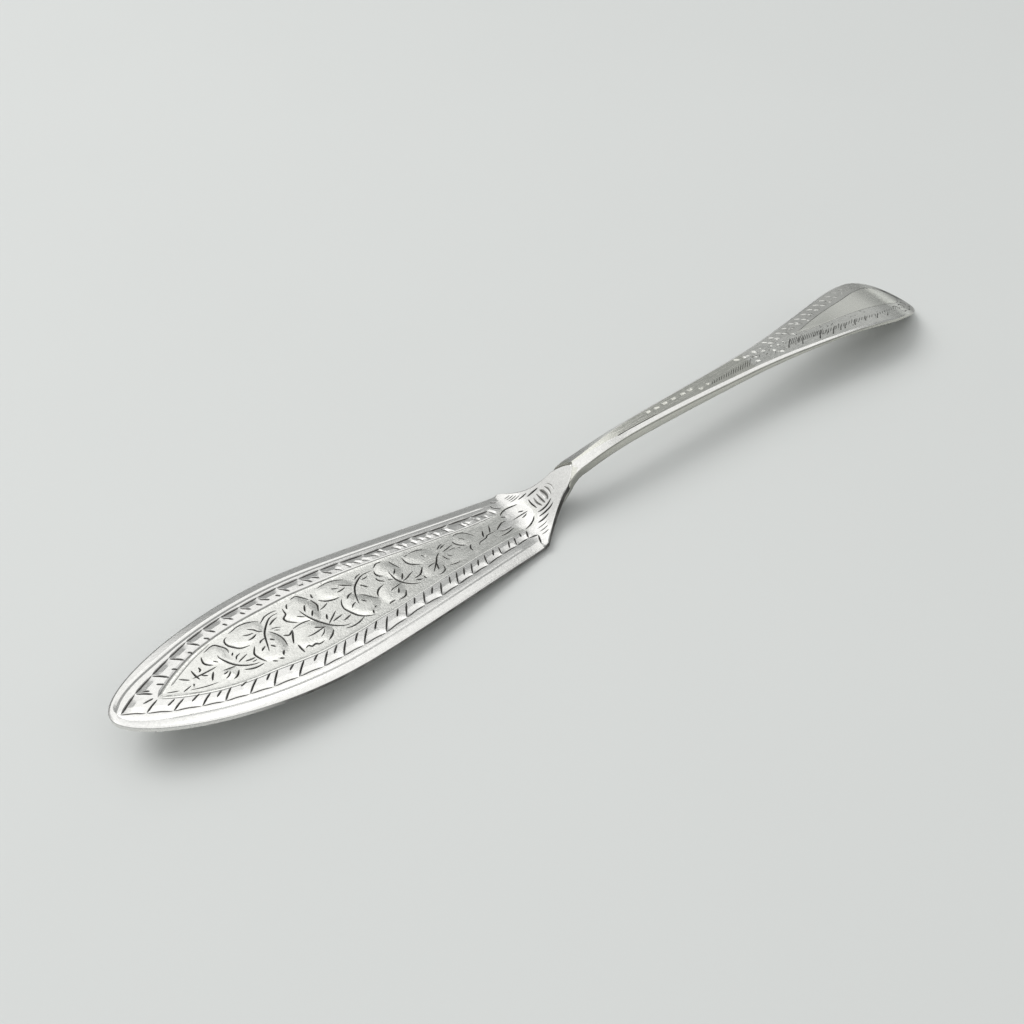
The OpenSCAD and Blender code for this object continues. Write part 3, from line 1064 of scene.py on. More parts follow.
PANEL_NEAR_SIDE = (
    (155.3, 0.5), (160, -0.45), (164, -0.95), (168, -1.35), (172, -1.75), (176, -2.1),
    (180, -2.2), (183.5, -1.6), (186.3, 0.7),
)
BEADS = (
    (115, 0.5, 0.75), (117.05, 0.45, 0.9), (119.2, 0.5, 1), (121.4, 0.5, 1),
    (123.7, 0.5, 1.1), (125.7, 0.45, 0.9), (127.8, -0.6, 0.85), (129.8, -0.5, 0.6),
)
BRIGHT_RUNS = (
    (138.4, 1.85, 139.8, 1.2), (140.6, 1.25, 141.4, 0.95), (141.4, -1.25, 143.2, -1.5),
    (147.2, -0.55, 147.5, -1.2), (147.4, -1.6, 149, -2.3), (143.2, 1.6, 144, 1),
)
DARK_RUNS = (
    (150.3, -2.2, 152.9, 0.2), (153.2, -2.1, 154.6, -0.7), (153.5, -3, 155.4, -1),
    (157.5, -3.9, 159.9, -1.7), (160.7, -4.4, 163, -2.6), (162.9, -4.5, 164.2, -3.1),
    (164, -4.6, 165.4, -3.2), (166.5, -5, 168.3, -3.3), (169.5, -5.2, 170.9, -3.6),
    (172.5, -5.7, 173.8, -4.4), (175.5, -5.9, 176.6, -4.9), (142.2, 0.35, 144.6, 0.1),
)
END_CURLS = (
    ((179.2, -4.2), (180.2, -3.3), (181.4, -3.9), (180.8, -4.8)),
    ((180.6, -4.9), (181.6, -5.5), (182.9, -4.9)),
    ((182.2, -3.2), (183, -2.5), (184.1, -3), (183.6, -3.9)),
    ((183.4, -4.1), (184.3, -4.6), (185.3, -3.8)),
    ((184.9, -1.5), (185.6, -1), (186.5, -1.5), (186.1, -2.3)),
    ((185.9, -2.7), (186.6, -2.9), (187.3, -2)),
    ((184.4, 4.4), (185.3, 3.7), (186.2, 4)),
    ((186.6, 2.6), (187.2, 1.8), (187.9, 1.9)),
)


# Layout of the cuts with Geometry Nodes


def marking_mesh(name: str, runs: Sequence[Array], edges: bool = True) -> bpy.types.Object:
    """A mesh object of bare points and edges that carries drawn lines.

    Args:
        name: the object's name.
        runs: runs of points in millimetres, rows of x and y.
        edges: whether each run is joined up.

    Returns:
        The object, linked to the scene.
    """
    points = np.vstack(runs)
    joins: list[tuple[int, int]] = []
    first = 0
    for run in runs:
        joins += [(first + i, first + i + 1) for i in range(len(run) - 1)] if edges else []
        first += len(run)
    mesh = bpy.data.meshes.new(name)
    mesh.from_pydata([(x, y, 0.0) for x, y in points], joins, [])
    obj = bpy.data.objects.new(name, mesh)
    bpy.context.scene.collection.objects.link(obj)
    return obj


def motif_object(name: str, cuts: Sequence[Cut]) -> bpy.types.Object:
    """A motif to repeat: its cuts as runs of points that carry their half width.

    Args:
        name: the object's name.
        cuts: the motif's cuts around its own origin.

    Returns:
        The object.
    """
    grooves = [Groove.from_cut(c) for c in cuts]
    obj = marking_mesh(name, [g.line for g in grooves])
    for label in GROOVE_ATTRIBUTES:
        values = np.concatenate([getattr(g, label) for g in grooves])
        obj.data.attributes.new(label, "FLOAT", "POINT").data.foreach_set("value", values)
    return obj


class NodeTree:
    """A small helper that builds a node tree by name."""

    def __init__(self, tree: bpy.types.NodeTree) -> None:
        """Keeps the tree to build in."""
        self.tree = tree

    def feed(self, node: bpy.types.Node, feeds: dict[str | int, object]) -> None:
        """Links sockets into a node's inputs, or sets the inputs to plain values.

        Args:
            node: the node.
            feeds: sockets and values by the input's name or number.
        """
        for key, value in feeds.items():
            if isinstance(value, bpy.types.NodeSocket):
                self.tree.links.new(value, node.inputs[key])
            else:
                node.inputs[key].default_value = value

    def add(
        self, kind: str, feeds: dict[str | int, object] | None = None, **settings: object
    ) -> bpy.types.Node:
        """Adds a node.

        Args:
            kind: the node's type.
            feeds: what goes into its inputs.
            settings: its properties.

        Returns:
            The node.
        """
        node = self.tree.nodes.new(kind)
        for key, value in settings.items():
            setattr(node, key, value)
        self.feed(node, feeds or {})
        return node

    def math(self, operation: str, a: object, b: object = 0.0, c: object = 0.0) -> bpy.types.NodeSocket:
        """Adds a Math node.

        Args:
            operation: its operation.
            a: first socket or number.
            b: second socket or number.
            c: third socket or number.

        Returns:
            Its output.
        """
        return self.add("ShaderNodeMath", dict(enumerate((a, b, c))), operation=operation).outputs[0]


class CutLayout:
    """Geometry Nodes trees that repeat a motif along a path or on marked points."""

    def __init__(self, metal: bpy.types.Material) -> None:
        """Builds both trees.

        Args:
            metal: the material that the laid-out cuts are given.
        """
        self.metal = metal
        self.along_path = self._along_path_tree()
        self.on_points = self._on_points_tree()

    @staticmethod
    def _new_tree(name: str, inputs: Sequence[tuple[str, str]]) -> NodeTree:
        """Starts a tree with geometry in and out and named inputs."""
        tree = bpy.data.node_groups.new(name, "GeometryNodeTree")
        tree.interface.new_socket("Geometry", in_out="INPUT", socket_type="NodeSocketGeometry")
        for label, kind in inputs:
            tree.interface.new_socket(label, in_out="INPUT", socket_type=kind)
        tree.interface.new_socket("Geometry", in_out="OUTPUT", socket_type="NodeSocketGeometry")
        return NodeTree(tree)

    @staticmethod
    def _close_tree(t: NodeTree, place: bpy.types.Node, source: bpy.types.Node) -> bpy.types.NodeTree:
        """Puts the motif on the points, realizes the copies and sets their material."""
        given = source.outputs
        info = t.add("GeometryNodeObjectInfo", {"Object": given["Motif"]}, transform_space="ORIGINAL")
        t.feed(place, {"Instance": info.outputs["Geometry"]})
        real = t.add("GeometryNodeRealizeInstances", {"Geometry": place.outputs["Instances"]})
        feeds = {"Geometry": real.outputs["Geometry"], "Material": given["Metal"]}
        dress = t.add("GeometryNodeSetMaterial", feeds)
        t.add("NodeGroupOutput", {"Geometry": dress.outputs["Geometry"]})
        return t.tree

    def _along_path_tree(self) -> bpy.types.NodeTree:
        """Repeats a motif at even steps, turned to the path, growing from start to end."""
        inputs = (
            ("Motif", "NodeSocketObject"),
            ("Metal", "NodeSocketMaterial"),
            ("Count", "NodeSocketInt"),
            ("Start Size", "NodeSocketFloat"),
            ("End Size", "NodeSocketFloat"),
        )
        t = self._new_tree("cuts_along_path", inputs)
        source = t.add("NodeGroupInput")
        given = source.outputs
        curve = t.add("GeometryNodeMeshToCurve", {"Mesh": given["Geometry"]})
        feeds = {"Curve": curve.outputs["Curve"], "Count": given["Count"]}
        points = t.add("GeometryNodeCurveToPoints", feeds, mode="COUNT").outputs
        feeds = {"Vector": points["Tangent"]}
        turn = t.add("FunctionNodeAlignRotationToVector", feeds, axis="X", pivot_axis="Z")
        index = t.add("GeometryNodeInputIndex")
        last = t.math("SUBTRACT", given["Count"], 1.0)
        share = t.math("DIVIDE", index.outputs["Index"], t.math("MAXIMUM", last, 1.0))
        growth = t.math("SUBTRACT", given["End Size"], given["Start Size"])
        size = t.math("MULTIPLY_ADD", share, growth, given["Start Size"])
        scale = t.add("ShaderNodeCombineXYZ", {"X": size, "Y": size, "Z": 1.0})
        feeds = {
            "Points": points["Points"],
            "Rotation": turn.outputs["Rotation"],
            "Scale": scale.outputs["Vector"],
        }
        return self._close_tree(t, t.add("GeometryNodeInstanceOnPoints", feeds), source)

    def _on_points_tree(self) -> bpy.types.NodeTree:
        """Sets a motif on points that carry its size and turn."""
        inputs = (("Motif", "NodeSocketObject"), ("Metal", "NodeSocketMaterial"))
        t = self._new_tree("sprays_on_points", inputs)
        source = t.add("NodeGroupInput")
        points = t.add("GeometryNodeMeshToPoints", {"Mesh": source.outputs["Geometry"]})
        size, angle = (
            t.add("GeometryNodeInputNamedAttribute", {"Name": label}, data_type="FLOAT_VECTOR")
            for label in (SIZE_ATTRIBUTE, TURN_ATTRIBUTE)
        )
        turn = t.add("FunctionNodeEulerToRotation", {"Euler": angle.outputs["Attribute"]})
        feeds = {
            "Points": points.outputs["Points"],
            "Rotation": turn.outputs["Rotation"],
            "Scale": size.outputs["Attribute"],
        }
        return self._close_tree(t, t.add("GeometryNodeInstanceOnPoints", feeds), source)

    def _evaluate(
        self, carrier: bpy.types.Object, tree: bpy.types.NodeTree, values: dict[str, object]
    ) -> list[Groove]:
        """Runs a tree on a carrier and reads the laid-out cuts back.

        Args:
            carrier: mesh object with the path or the points.
            tree: the tree to run.
            values: the tree's inputs by name.

        Returns:
            The grooves. The carrier and the motif are removed.
        """
        modifier = carrier.modifiers.new(tree.name, "NODES")
        modifier.node_group = tree
        for item in tree.interface.items_tree:
            if item.in_out == "INPUT" and item.name in values:
                modifier[item.identifier] = values[item.name]
        ready = carrier.evaluated_get(bpy.context.evaluated_depsgraph_get())
        mesh = bpy.data.meshes.new_from_object(ready)
        carrier.modifiers.remove(modifier)
        at = np.array([v.co[:2] for v in mesh.vertices]).reshape(-1, STROKE_POINTS, 2)
        rows = []
        for name in GROOVE_ATTRIBUTES:
            column = np.zeros(len(mesh.vertices))
            mesh.attributes[name].data.foreach_get("value", column)
            rows.append(column.reshape(-1, STROKE_POINTS))
        bpy.data.meshes.remove(mesh)
        for obj in (carrier, values["Motif"]):
            bpy.data.objects.remove(obj)
        return [Groove(a.copy(), *(r.copy() for r in row)) for a, *row in zip(at, *rows)]

    def repeat(
        self,
        path: Array,
        motif: Sequence[Cut],
        count: int,
        start_size: float,
        end_size: float,
    ) -> list[Groove]:
        """Repeats a motif along a path.

        Args:
            path: rows of x and y.
            motif: the motif, with its x axis along the path.
            count: how many copies.
            start_size: the first copy's size.
            end_size: the last copy's size.

        Returns:
            The grooves.
        """
        values = {
            "Motif": motif_object("motif", motif),
            "Metal": self.metal,
            "Count": count,
            "Start Size": float(start_size),
            "End Size": float(end_size),
        }
        return self._evaluate(marking_mesh("path", [path]), self.along_path, values)

    def scatter(self, sprays: Sequence["Spray"], motif: Sequence[Cut]) -> list[Groove]:
        """Sets a motif on marked places.

        Args:
            sprays: the places.
            motif: the motif around its own origin.

        Returns:
            The grooves.
        """
        carrier = marking_mesh("marks", [np.array([s.place for s in sprays])], edges=False)
        for label, rows in (
            (SIZE_ATTRIBUTE, [(s.size, s.size, 1) for s in sprays]),
            (TURN_ATTRIBUTE, [(0, 0, math.radians(s.turn)) for s in sprays]),
        ):
            column = carrier.data.attributes.new(label, "FLOAT_VECTOR", "POINT")
            column.data.foreach_set("vector", np.array(rows, float).ravel())
        values = {"Motif": motif_object("motif", motif), "Metal": self.metal}
        return self._evaluate(carrier, self.on_points, values)

    def stretch(self, runs: Iterable[Sequence[float]], cut: Cut) -> list[Groove]:
        """Stretches a cut of unit length over runs, each the x and y of its start and of its end."""
        return self.scatter([Spray.between(run[:2], run[2:]) for run in runs], (cut,))


@dataclass(frozen=True)
class Spray:
    """A place for a motif: its point, its size and its turn in degrees."""

    place: Point
    size: float
    turn: float = 0.0

    @classmethod
    def between(cls, start: Point, end: Point) -> "Spray":
        """Stretches a motif of unit length from one point to another."""
        run = np.subtract(end, start)
        return cls(tuple(start), float(np.hypot(*run)), math.degrees(math.atan2(run[1], run[0])))


# Finishes


@dataclass(frozen=True)
class SilverFinish:
    """A silver surface.

    Attributes:
        name: the material's name.
        colour: colour of the clean metal.
        tarnish_and_shade_colour: colour of the dark film: patina in the cuts, and painted shade where
            the pieces carry it.
        roughness: roughness of the clean metal.
        haze: what handling adds to the roughness.
        stipple: depth of the stippled ground in millimetres.
        stipple_size: distance of its dots in millimetres.
        swell: height of soft hammer swells in millimetres.
        grain: how far dark specks show.
        scratch_dulling: what scratches add to the roughness.
        film_dulling: what the dark film adds to the roughness.
    """

    name: str
    colour: tuple[float, float, float]
    tarnish_and_shade_colour: tuple[float, float, float] = (0.075, 0.072, 0.068)
    roughness: float = 0.2
    haze: float = 0.1
    stipple: float = 0.008
    stipple_size: float = 0.45
    swell: float = 0.03
    grain: float = 0.07
    scratch_dulling: float = 0.08
    film_dulling: float = 0.2

    def build(self, marks: bpy.types.NodeTree, tarnish_and_shade: bpy.types.NodeTree) -> bpy.types.Material:
        """Builds the material.

        Args:
            marks: the shared group of handling marks.
            tarnish_and_shade: the shared group of patina in the cuts and painted shade.

        Returns:
            The material.
        """
        material = bpy.data.materials.new(self.name)
        material.use_nodes = True
        t = NodeTree(material.node_tree)
        t.tree.nodes.clear()
        where = t.add("ShaderNodeTexCoord").outputs["Object"]
        cut = t.add("ShaderNodeAttribute", attribute_name=TARNISH_AND_SHADE_ATTRIBUTE).outputs["Fac"]
        feeds = {"Vector": where, "Stipple Size": self.stipple_size}
        wear = t.add("ShaderNodeGroup", feeds, node_tree=marks).outputs
        # This mask darkens the colour with patina in the cuts and with painted shade.
        film = t.add("ShaderNodeGroup", {"Vector": where, "Cut": cut}, node_tree=tarnish_and_shade).outputs["Mask"]
        speck = t.math("MULTIPLY", wear["Grain"], self.grain)
        feeds = {
            "Factor": t.math("MAXIMUM", film, speck),
            "A": (*self.colour, 1),
            "B": (*self.tarnish_and_shade_colour, 1),
        }
        tint = t.add("ShaderNodeMix", feeds, data_type="RGBA")
        rough = t.math("MULTIPLY_ADD", wear["Haze"], self.haze, self.roughness)
        rough = t.math("MULTIPLY_ADD", wear["Scratches"], self.scratch_dulling, rough)
        height = t.math("MULTIPLY", wear["Stipple"], self.stipple)
        height = t.math("MULTIPLY_ADD", wear["Swell"], self.swell, height)
        bump = t.add("ShaderNodeBump", {"Strength": 1.0, "Distance": MM, "Height": height})
        feeds = {
            "Metallic": 1.0,
            "Base Color": tint.outputs["Result"],
            "Roughness": t.math("MULTIPLY_ADD", film, self.film_dulling, rough),
            "Normal": bump.outputs["Normal"],
        }
        skin = t.add("ShaderNodeBsdfPrincipled", feeds)
        t.add("ShaderNodeOutputMaterial", {"Surface": skin.outputs["BSDF"]})
        return material


class SharedEffects:
    """Shader groups that the silver finishes share."""

    def __init__(self) -> None:
        """Builds the groups."""
        self.marks = self._handling_marks()
        self.tarnish_and_shade = self._tarnish_and_painted_shade()

    @staticmethod
    def _group(name: str, inputs: Sequence[tuple[str, str, float]], outputs: Sequence[str]) -> NodeTree:
        """Starts a group with named sockets."""
        tree = bpy.data.node_groups.new(name, "ShaderNodeTree")
        for label, kind, value in inputs:
            socket = tree.interface.new_socket(label, in_out="INPUT", socket_type=kind)
            if kind == "NodeSocketFloat":
                socket.default_value = value
        for label in outputs:
            tree.interface.new_socket(label, in_out="OUTPUT", socket_type="NodeSocketFloat")
        return NodeTree(tree)

    @staticmethod
    def _noise(
        t: NodeTree, vector: bpy.types.NodeSocket, size_mm: float, detail: float
    ) -> bpy.types.NodeSocket:
        """Noise with features of about a size in millimetres."""
        feeds = {"Scale": 1.0 / (size_mm * MM), "Detail": detail, "Vector": vector}
        return t.add("ShaderNodeTexNoise", feeds).outputs["Fac"]

    def _handling_marks(self) -> bpy.types.NodeTree:
        """Haze from handling, fine scratches, the stippled ground and soft hammer swells."""
        t = self._group(
            "handling_marks",
            (("Vector", "NodeSocketVector", 0.0), ("Stipple Size", "NodeSocketFloat", 0.3)),
            ("Haze", "Scratches", "Stipple", "Swell", "Grain"),
        )
        given = t.add("NodeGroupInput").outputs
        where = given["Vector"]
        specks = self._noise(t, where, 0.5, 2.0)
        feeds = {"Vector": where, "Rotation": (0, 0, 0.35), "Scale": (0.06, 1.0, 1.0)}
        lines = self._noise(t, t.add("ShaderNodeMapping", feeds).outputs["Vector"], 0.22, 3.0)
        feeds = {"Vector": where, "Scale": t.math("DIVIDE", 1.0 / MM, given["Stipple Size"])}
        dots = t.add("ShaderNodeTexVoronoi", feeds)
        feeds = {
            "Haze": self._noise(t, where, 9.0, 4.0),
            "Scratches": t.math("MULTIPLY", t.math("SUBTRACT", lines, 0.55), 4.0),
            "Stipple": t.math("MINIMUM", dots.outputs["Distance"], 0.6),
            "Swell": self._noise(t, where, 14.0, 1.0),
            "Grain": t.math("MULTIPLY", t.math("SUBTRACT", specks, 0.38), 4.0),
        }
        t.add("NodeGroupOutput", feeds)
        return t.tree

    def _tarnish_and_painted_shade(self) -> bpy.types.NodeTree:
        """Mask of the dark colour: film that stays in the cuts where polishing doesn't reach, and
        painted shade carried in the same attribute.
        """
        t = self._group(
            "tarnish_and_painted_shade",
            (("Vector", "NodeSocketVector", 0.0), ("Cut", "NodeSocketFloat", 0.0)),
            ("Mask",),
        )
        given = t.add("NodeGroupInput").outputs
        patchy = self._noise(t, given["Vector"], 2.5, 3.0)
        reach = t.math("MULTIPLY_ADD", patchy, 1.0, 1.1)
        clamp = t.add("ShaderNodeClamp", {"Value": t.math("MULTIPLY", given["Cut"], reach)})
        t.add("NodeGroupOutput", {"Mask": clamp.outputs["Result"]})
        return t.tree


class Finish(Enum):
    """The knife's finishes."""

    POLISHED = SilverFinish("polished_silver", (0.81, 0.8, 0.775))
    MATTED = SilverFinish(
        "matted_silver",
        (0.81, 0.805, 0.765),
        tarnish_and_shade_colour=(0.07, 0.067, 0.063),
        roughness=0.22,
        stipple=0.015,
        stipple_size=0.42,
        swell=0.02,
        grain=0.11,
    )
    # Painted shade: a darker, warmer copy of the silver for the handle at large.
    SHADED_HANDLE = SilverFinish("handle_silver_painted_shade", (0.72, 0.715, 0.655), grain=0.09)
    # A smoother, lighter copy of the silver for the plain panel: real burnishing, and painted sheen in
    # its lighter colour.
    BURNISHED_WITH_SHEEN = SilverFinish("burnished_silver_painted_sheen", (0.88, 0.875, 0.815), stipple=0.004, grain=0.03)
    SOLDER = SilverFinish(
        "silver_solder",
        (0.42, 0.41, 0.39),
        tarnish_and_shade_colour=(0.1, 0.1, 0.1),
        roughness=0.45,
        haze=0.2,
        stipple=0.05,
        stipple_size=0.4,
        swell=0.02,
        grain=0.2,
    )


# Pieces


def finished_piece(
    name: str,
    points: Array,
    faces: Sequence[Sequence[int]],
    cut: Array,
    materials: Sequence[bpy.types.Material],
    which: Array,
    crease: float,
) -> bpy.types.Object:
    """Makes a mesh object of a piece.

    Args:
        name: the piece's name.
        points: rows of x, y, z in the frame, in metres.
        faces: the faces' point numbers.
        cut: dark colour at each point, from 0 to 1: patina in the cuts, and painted shade on edges,
            walls, sides and underside.
        materials: the piece's materials.
        which: the material number of each face.
        crease: angle in degrees above which an edge is sharp.

    Returns:
        The object, linked to the scene.
    """
    mesh = bpy.data.meshes.new(name)
    mesh.from_pydata(points.tolist(), [], [tuple(int(i) for i in f) for f in faces])
    for m in materials:
        mesh.materials.append(m)
    mesh.polygons.foreach_set("material_index", np.asarray(which, np.int32))
    mesh.polygons.foreach_set("use_smooth", np.ones(len(mesh.polygons), bool))
    # The attribute carries patina in the cuts and painted shade.
    depth = mesh.attributes.new(TARNISH_AND_SHADE_ATTRIBUTE, "FLOAT", "POINT")
    depth.data.foreach_set("value", np.asarray(cut, np.float32))
    mesh.update()
    mesh.set_sharp_from_angle(angle=math.radians(crease))
    mesh.validate()
    obj = bpy.data.objects.new(name, mesh)
    bpy.context.scene.collection.objects.link(obj)
    return obj


def ring_walls(rings: Sequence[Array]) -> list[tuple[int, int, int, int]]:
    """Quads between rings of point numbers, each ring below the one before it."""
    return [
        (upper[i], upper[(i + 1) % len(upper)], lower[(i + 1) % len(upper)], lower[i])
        for upper, lower in zip(rings[:-1], rings[1:])
        for i in range(len(upper))
    ]


def ladder(ring: Array) -> list[tuple[int, ...]]:
    """Closes the last ring with rungs from each point to its mirror image, facing down."""
    m = len(ring)
    n = m // 2
    return [(ring[i], ring[i + 1], ring[m - 2 - i], ring[m - 1 - i]) for i in range(n - 1)]


def stacked_rings(sheet: Sheet, top: Array, halves: Sequence[Array]) -> tuple[Array, list[Array]]:
    """Hangs rings of points under a carved sheet.

    Args:
        sheet: the sheet, whose rim is the first ring.
        top: the sheet's points as rows of x, y and z.
        halves: half rings as rows of x, y and z, from top to bottom.

    Returns:
        All points, and the point numbers of each ring.
    """
    points, rings, count = [top], [sheet.rim], len(top)
    for half in halves:
        points.append(mirrored_loop(half))
        rings.append(np.arange(count, count + 2 * len(half)))
        count += 2 * len(half)
    return np.vstack(points), rings


@dataclass
class Blade:
    """The blade: carved top, bevelled rim, edge, back and tongue."""

    form: KnifeForm
    layout: CutLayout
    groove_slope: float = 0.85
    crease: float = 9.0
    arch_points: int = 26
    line_points: int = 120
    rim_line_points: int = 110
    short_line_points: int = 30
    heel_leaf_points: int = 48
    lobe_points: int = 32
    heel_flat: float = 0.4
    least_step: float = 0.1
    apex_half: float = 0.08
    edge_round: float = 0.07
    roll_width: float = 0.36
    roll_drop: float = 0.27
    tip_roll_drop: float = 0.05
    tip_edge_drop: float = 0.18
    tip_run: float = 30.0
    soft_width: float = 0.2
    heel_margin: float = 0.05
    loop_shares: tuple[float, float, float] = (0.25, 0.5, 0.7)
    back_inset: float = 0.02
    # Painted shade: a darker line along the far rim's outer edge.
    far_rim_painted_shade: float = 0.3
    # Painted shade: the walls under the rim darken from near the tip to the heel.
    rim_wall_painted_shade: float = 0.52
    rim_wall_shade_rise: tuple[float, float] = (16.0, 14.0)
    # Painted shade on the shoulders' and tongue's walls.
    shoulder_wall_painted_shade: float = 0.62
    rim_line: float = 2.12
    tip_rim_line: float = 1.25
    rim_line_run: float = 12.0
    rim_line_end: float = 81.0
    line_gap: float = 0.02
    heel_thinning: float = 0.5
    line_fade: tuple[float, float] = (34.0, 26.0)
    field_fade: tuple[float, float] = (45.0, 20.0)
    sink: float = 0.11
    field_slope: float = 0.7
    leaf_swell: float = 1.3
    bold: float = 0.22
    middling: float = 0.18
    fine: float = 0.13
    arc_lap: float = 0.02
    bright_from: float = 46.0
    guard: float = 0.32
    fill_start: float = 8.5
    fill_reach: float = 8.0
    fill_step: float = 0.55
    fill_shift: float = 0.27
    fill_heel: float = 79.0

    @cached_property
    def half(self) -> Array:
        """Half outline from the tip round the leaf, shoulder and tongue."""
        f = self.form
        heel = [[f.heel_x + self.heel_flat, f.heel_width / 2]]
        sweep = f.shoulder_half[f.shoulder_half[:, 0] < f.flush_x - self.least_step]
        arch = f.arch(f.flush_w, f.arch_length, self.arch_points)
        arch = arch[arch[:, 1] > self.least_step]
        return np.vstack([f.leaf_half, heel, sweep, arch, [[f.apex_x, self.apex_half]]])

    @cached_property
    def on_leaf(self) -> Array:
        """Which points of the half outline carry the bevelled rim."""
        return np.arange(len(self.half)) < len(self.form.leaf_half)

    def rim_path(self) -> Array:
        """Path of the soft line inside the rim on the +y side, from the tip to the heel."""
        leaf = self.form.leaf_half
        share = ramp(leaf[:, 0], 0, self.rim_line_run)
        distance = self.tip_rim_line + (self.rim_line - self.tip_rim_line) * share
        path = leaf - distance[:, None] * facing(leaf, (0, 1), tuple(leaf[-1] - leaf[-2]))
        below = np.flatnonzero(path[:, 1] <= self.line_gap)
        path = path[(below[-1] + 1 if len(below) else 0):]
        path = path[path[:, 0] < self.rim_line_end]
        return np.vstack([[[path[0, 0] - 2 * self.line_gap, 0.0]], path])

    def border_cuts(self) -> list[Groove]:
        """Both borders of teeth: a scalloped outer line, long cuts and short ticks."""
        near_arc = Cut.unit(0.25, 0.04, swell=Swell.EVEN, left=1.0)
        far_arc = Cut.unit(0.27, 0.01, swell=Swell.EVEN, right=0.9, stain=0.8)
        long_cut = Cut.unit(0.21, swell=Swell.EVEN)
        slant_cut = Cut.unit(0.23, 0.03, swell=Swell.EVEN)
        bright_cut = Cut.unit(0.22, 0.03, swell=Swell.EVEN, left=0.4)
        cuts: list[Groove] = []
        for feet, arc in ((NEAR_FEET, near_arc), (FAR_FEET, far_arc)):
            ends = np.array(feet)
            lap = self.arc_lap * np.diff(ends, axis=0)
            cuts += self.layout.stretch(np.hstack([ends[:-1] - lap, ends[1:] + lap]), arc)
        teeth = [(*foot, *head) for foot, head in zip(NEAR_FEET[1:], NEAR_HEADS)]
        cuts += self.layout.stretch(teeth, long_cut)
        cuts += self.layout.stretch(NEAR_TICKS + FAR_TICKS, long_cut)
        cuts += self.layout.stretch([c for c in FAR_CUTS if c[0] < self.bright_from], slant_cut)
        cuts += self.layout.stretch([c for c in FAR_CUTS if c[0] >= self.bright_from], bright_cut)
        return cuts

    @cached_property
    def inner_lines(self) -> tuple[Array, Array]:
        """The far and the near border's inner lines, from the tip to the heel."""
        count = self.line_points
        return smooth_path(FAR_INNER_LINE, count), smooth_path(NEAR_INNER_LINE, count)

    @cached_property
    def field(self) -> Array:
        """Closed outline of the field that the vine fills."""
        far, near = self.inner_lines
        return np.vstack([far, smooth_path(FIELD_HEEL, self.short_line_points), near[::-1]])

    def heel_leaf(self) -> Array:
        """Closed outline of the large leaf on the shoulders."""
        return smooth_path(HEEL_LEAF + HEEL_LEAF[:1], self.heel_leaf_points)

    def line_cuts(self) -> list[Groove]:
        """Lines along the borders: their inner lines and the soft lines inside the rim."""
        far, near = self.inner_lines
        rim = smooth_path(self.rim_path()[::3], self.rim_line_points)
        second = smooth_path(FAR_SECOND_LINE, self.short_line_points)
        lines = (
            Groove.even(far, 0.2, stain=0.5, walls=0.2),
            Groove.even(near, 0.08, stain=0.1, walls=0.16),
            Groove.even(second, 0.09, stain=0.35, walls=0.1),
            Groove.even(rim, 0.17, stain=0.18, walls=0.35),
            Groove.even(rim * [1, -1], 0.1, stain=0.0, walls=0.45),
        )
        return [g.thinned(1 - self.heel_thinning * ramp(g.line[:, 0], *self.line_fade)) for g in lines]

    def vine_cuts(self) -> list[Groove]:
        """The vine, drawn from listed runs: lobed leaves that swing from side to side, a sprig at each
        end.
        """
        cuts = drawn(VINE_BOLD, self.bold) + drawn(VINE_MIDDLING, self.middling)
        return cuts + drawn(VINE_FINE, self.fine)

    def leaf_lobes(self) -> list[Array]:
        """Closed outlines of the leaves that swell up in the sunk field, the heel leaf last."""
        lobes = [smooth_path(lobe + lobe[:1], self.lobe_points) for lobe in VINE_LEAVES]
        return lobes + [self.heel_leaf()]

    def relief(self, plan: Array) -> Array:
        """Depth of the chased field: its ground lies sunk and its leaves swell up to the surface.

        Args:
            plan: rows of x and y.

        Returns:
            The depth at each point.
        """
        depth = np.zeros(len(plan))
        here = inside(plan, self.field)
        rim = np.vstack([self.field, self.field[:1]])
        depth[here] = self.sink * ease(away(plan[here], rim) / self.field_slope)
        rise = np.zeros(len(plan))
        for lobe in self.leaf_lobes():
            within = inside(plan, lobe)
            rise[within] = np.maximum(rise[within], ease(away(plan[within], lobe) / self.leaf_swell))
        return depth * (1 - rise) * (1 - self.heel_thinning * ramp(plan[:, 0], *self.field_fade))

    def edge_drop(self, x: Array) -> Array:
        """How far the rim's outer edge lies below the top at each station: less at the tip."""
        return self.tip_edge_drop + (self.form.rim_drop - self.tip_edge_drop) * ramp(x, 0, self.tip_run)

    def rim_fall(self, plan: Array) -> Array:
        """How far the top falls away towards the edge.

        Args:
            plan: rows of x and y.

        Returns:
            The fall at each point.
        """
        f = self.form
        x = plan[:, 0]
        edge = away(plan, mirrored_loop(f.leaf_half[::-1]))
        inner = self.tip_roll_drop + (self.roll_drop - self.tip_roll_drop) * ramp(x, 0, self.tip_run)
        rise = self.edge_drop(x) - inner
        outer = inner + rise * (self.roll_width - edge) / (self.roll_width - self.edge_round)
        bevel = inner * (f.rim_width - edge) / (f.rim_width - self.roll_width)
        rim = np.clip(np.where(edge < self.roll_width, outer, bevel), 0, f.rim_drop)
        rest = self.half[~self.on_leaf]
        shoulder = np.minimum(away(plan, rest), away(plan * [1, -1], rest))
        soft = np.interp(shoulder, (self.edge_round, self.soft_width), (f.soft, 0))
        return np.where(x < f.heel_x + self.heel_margin, rim, soft)

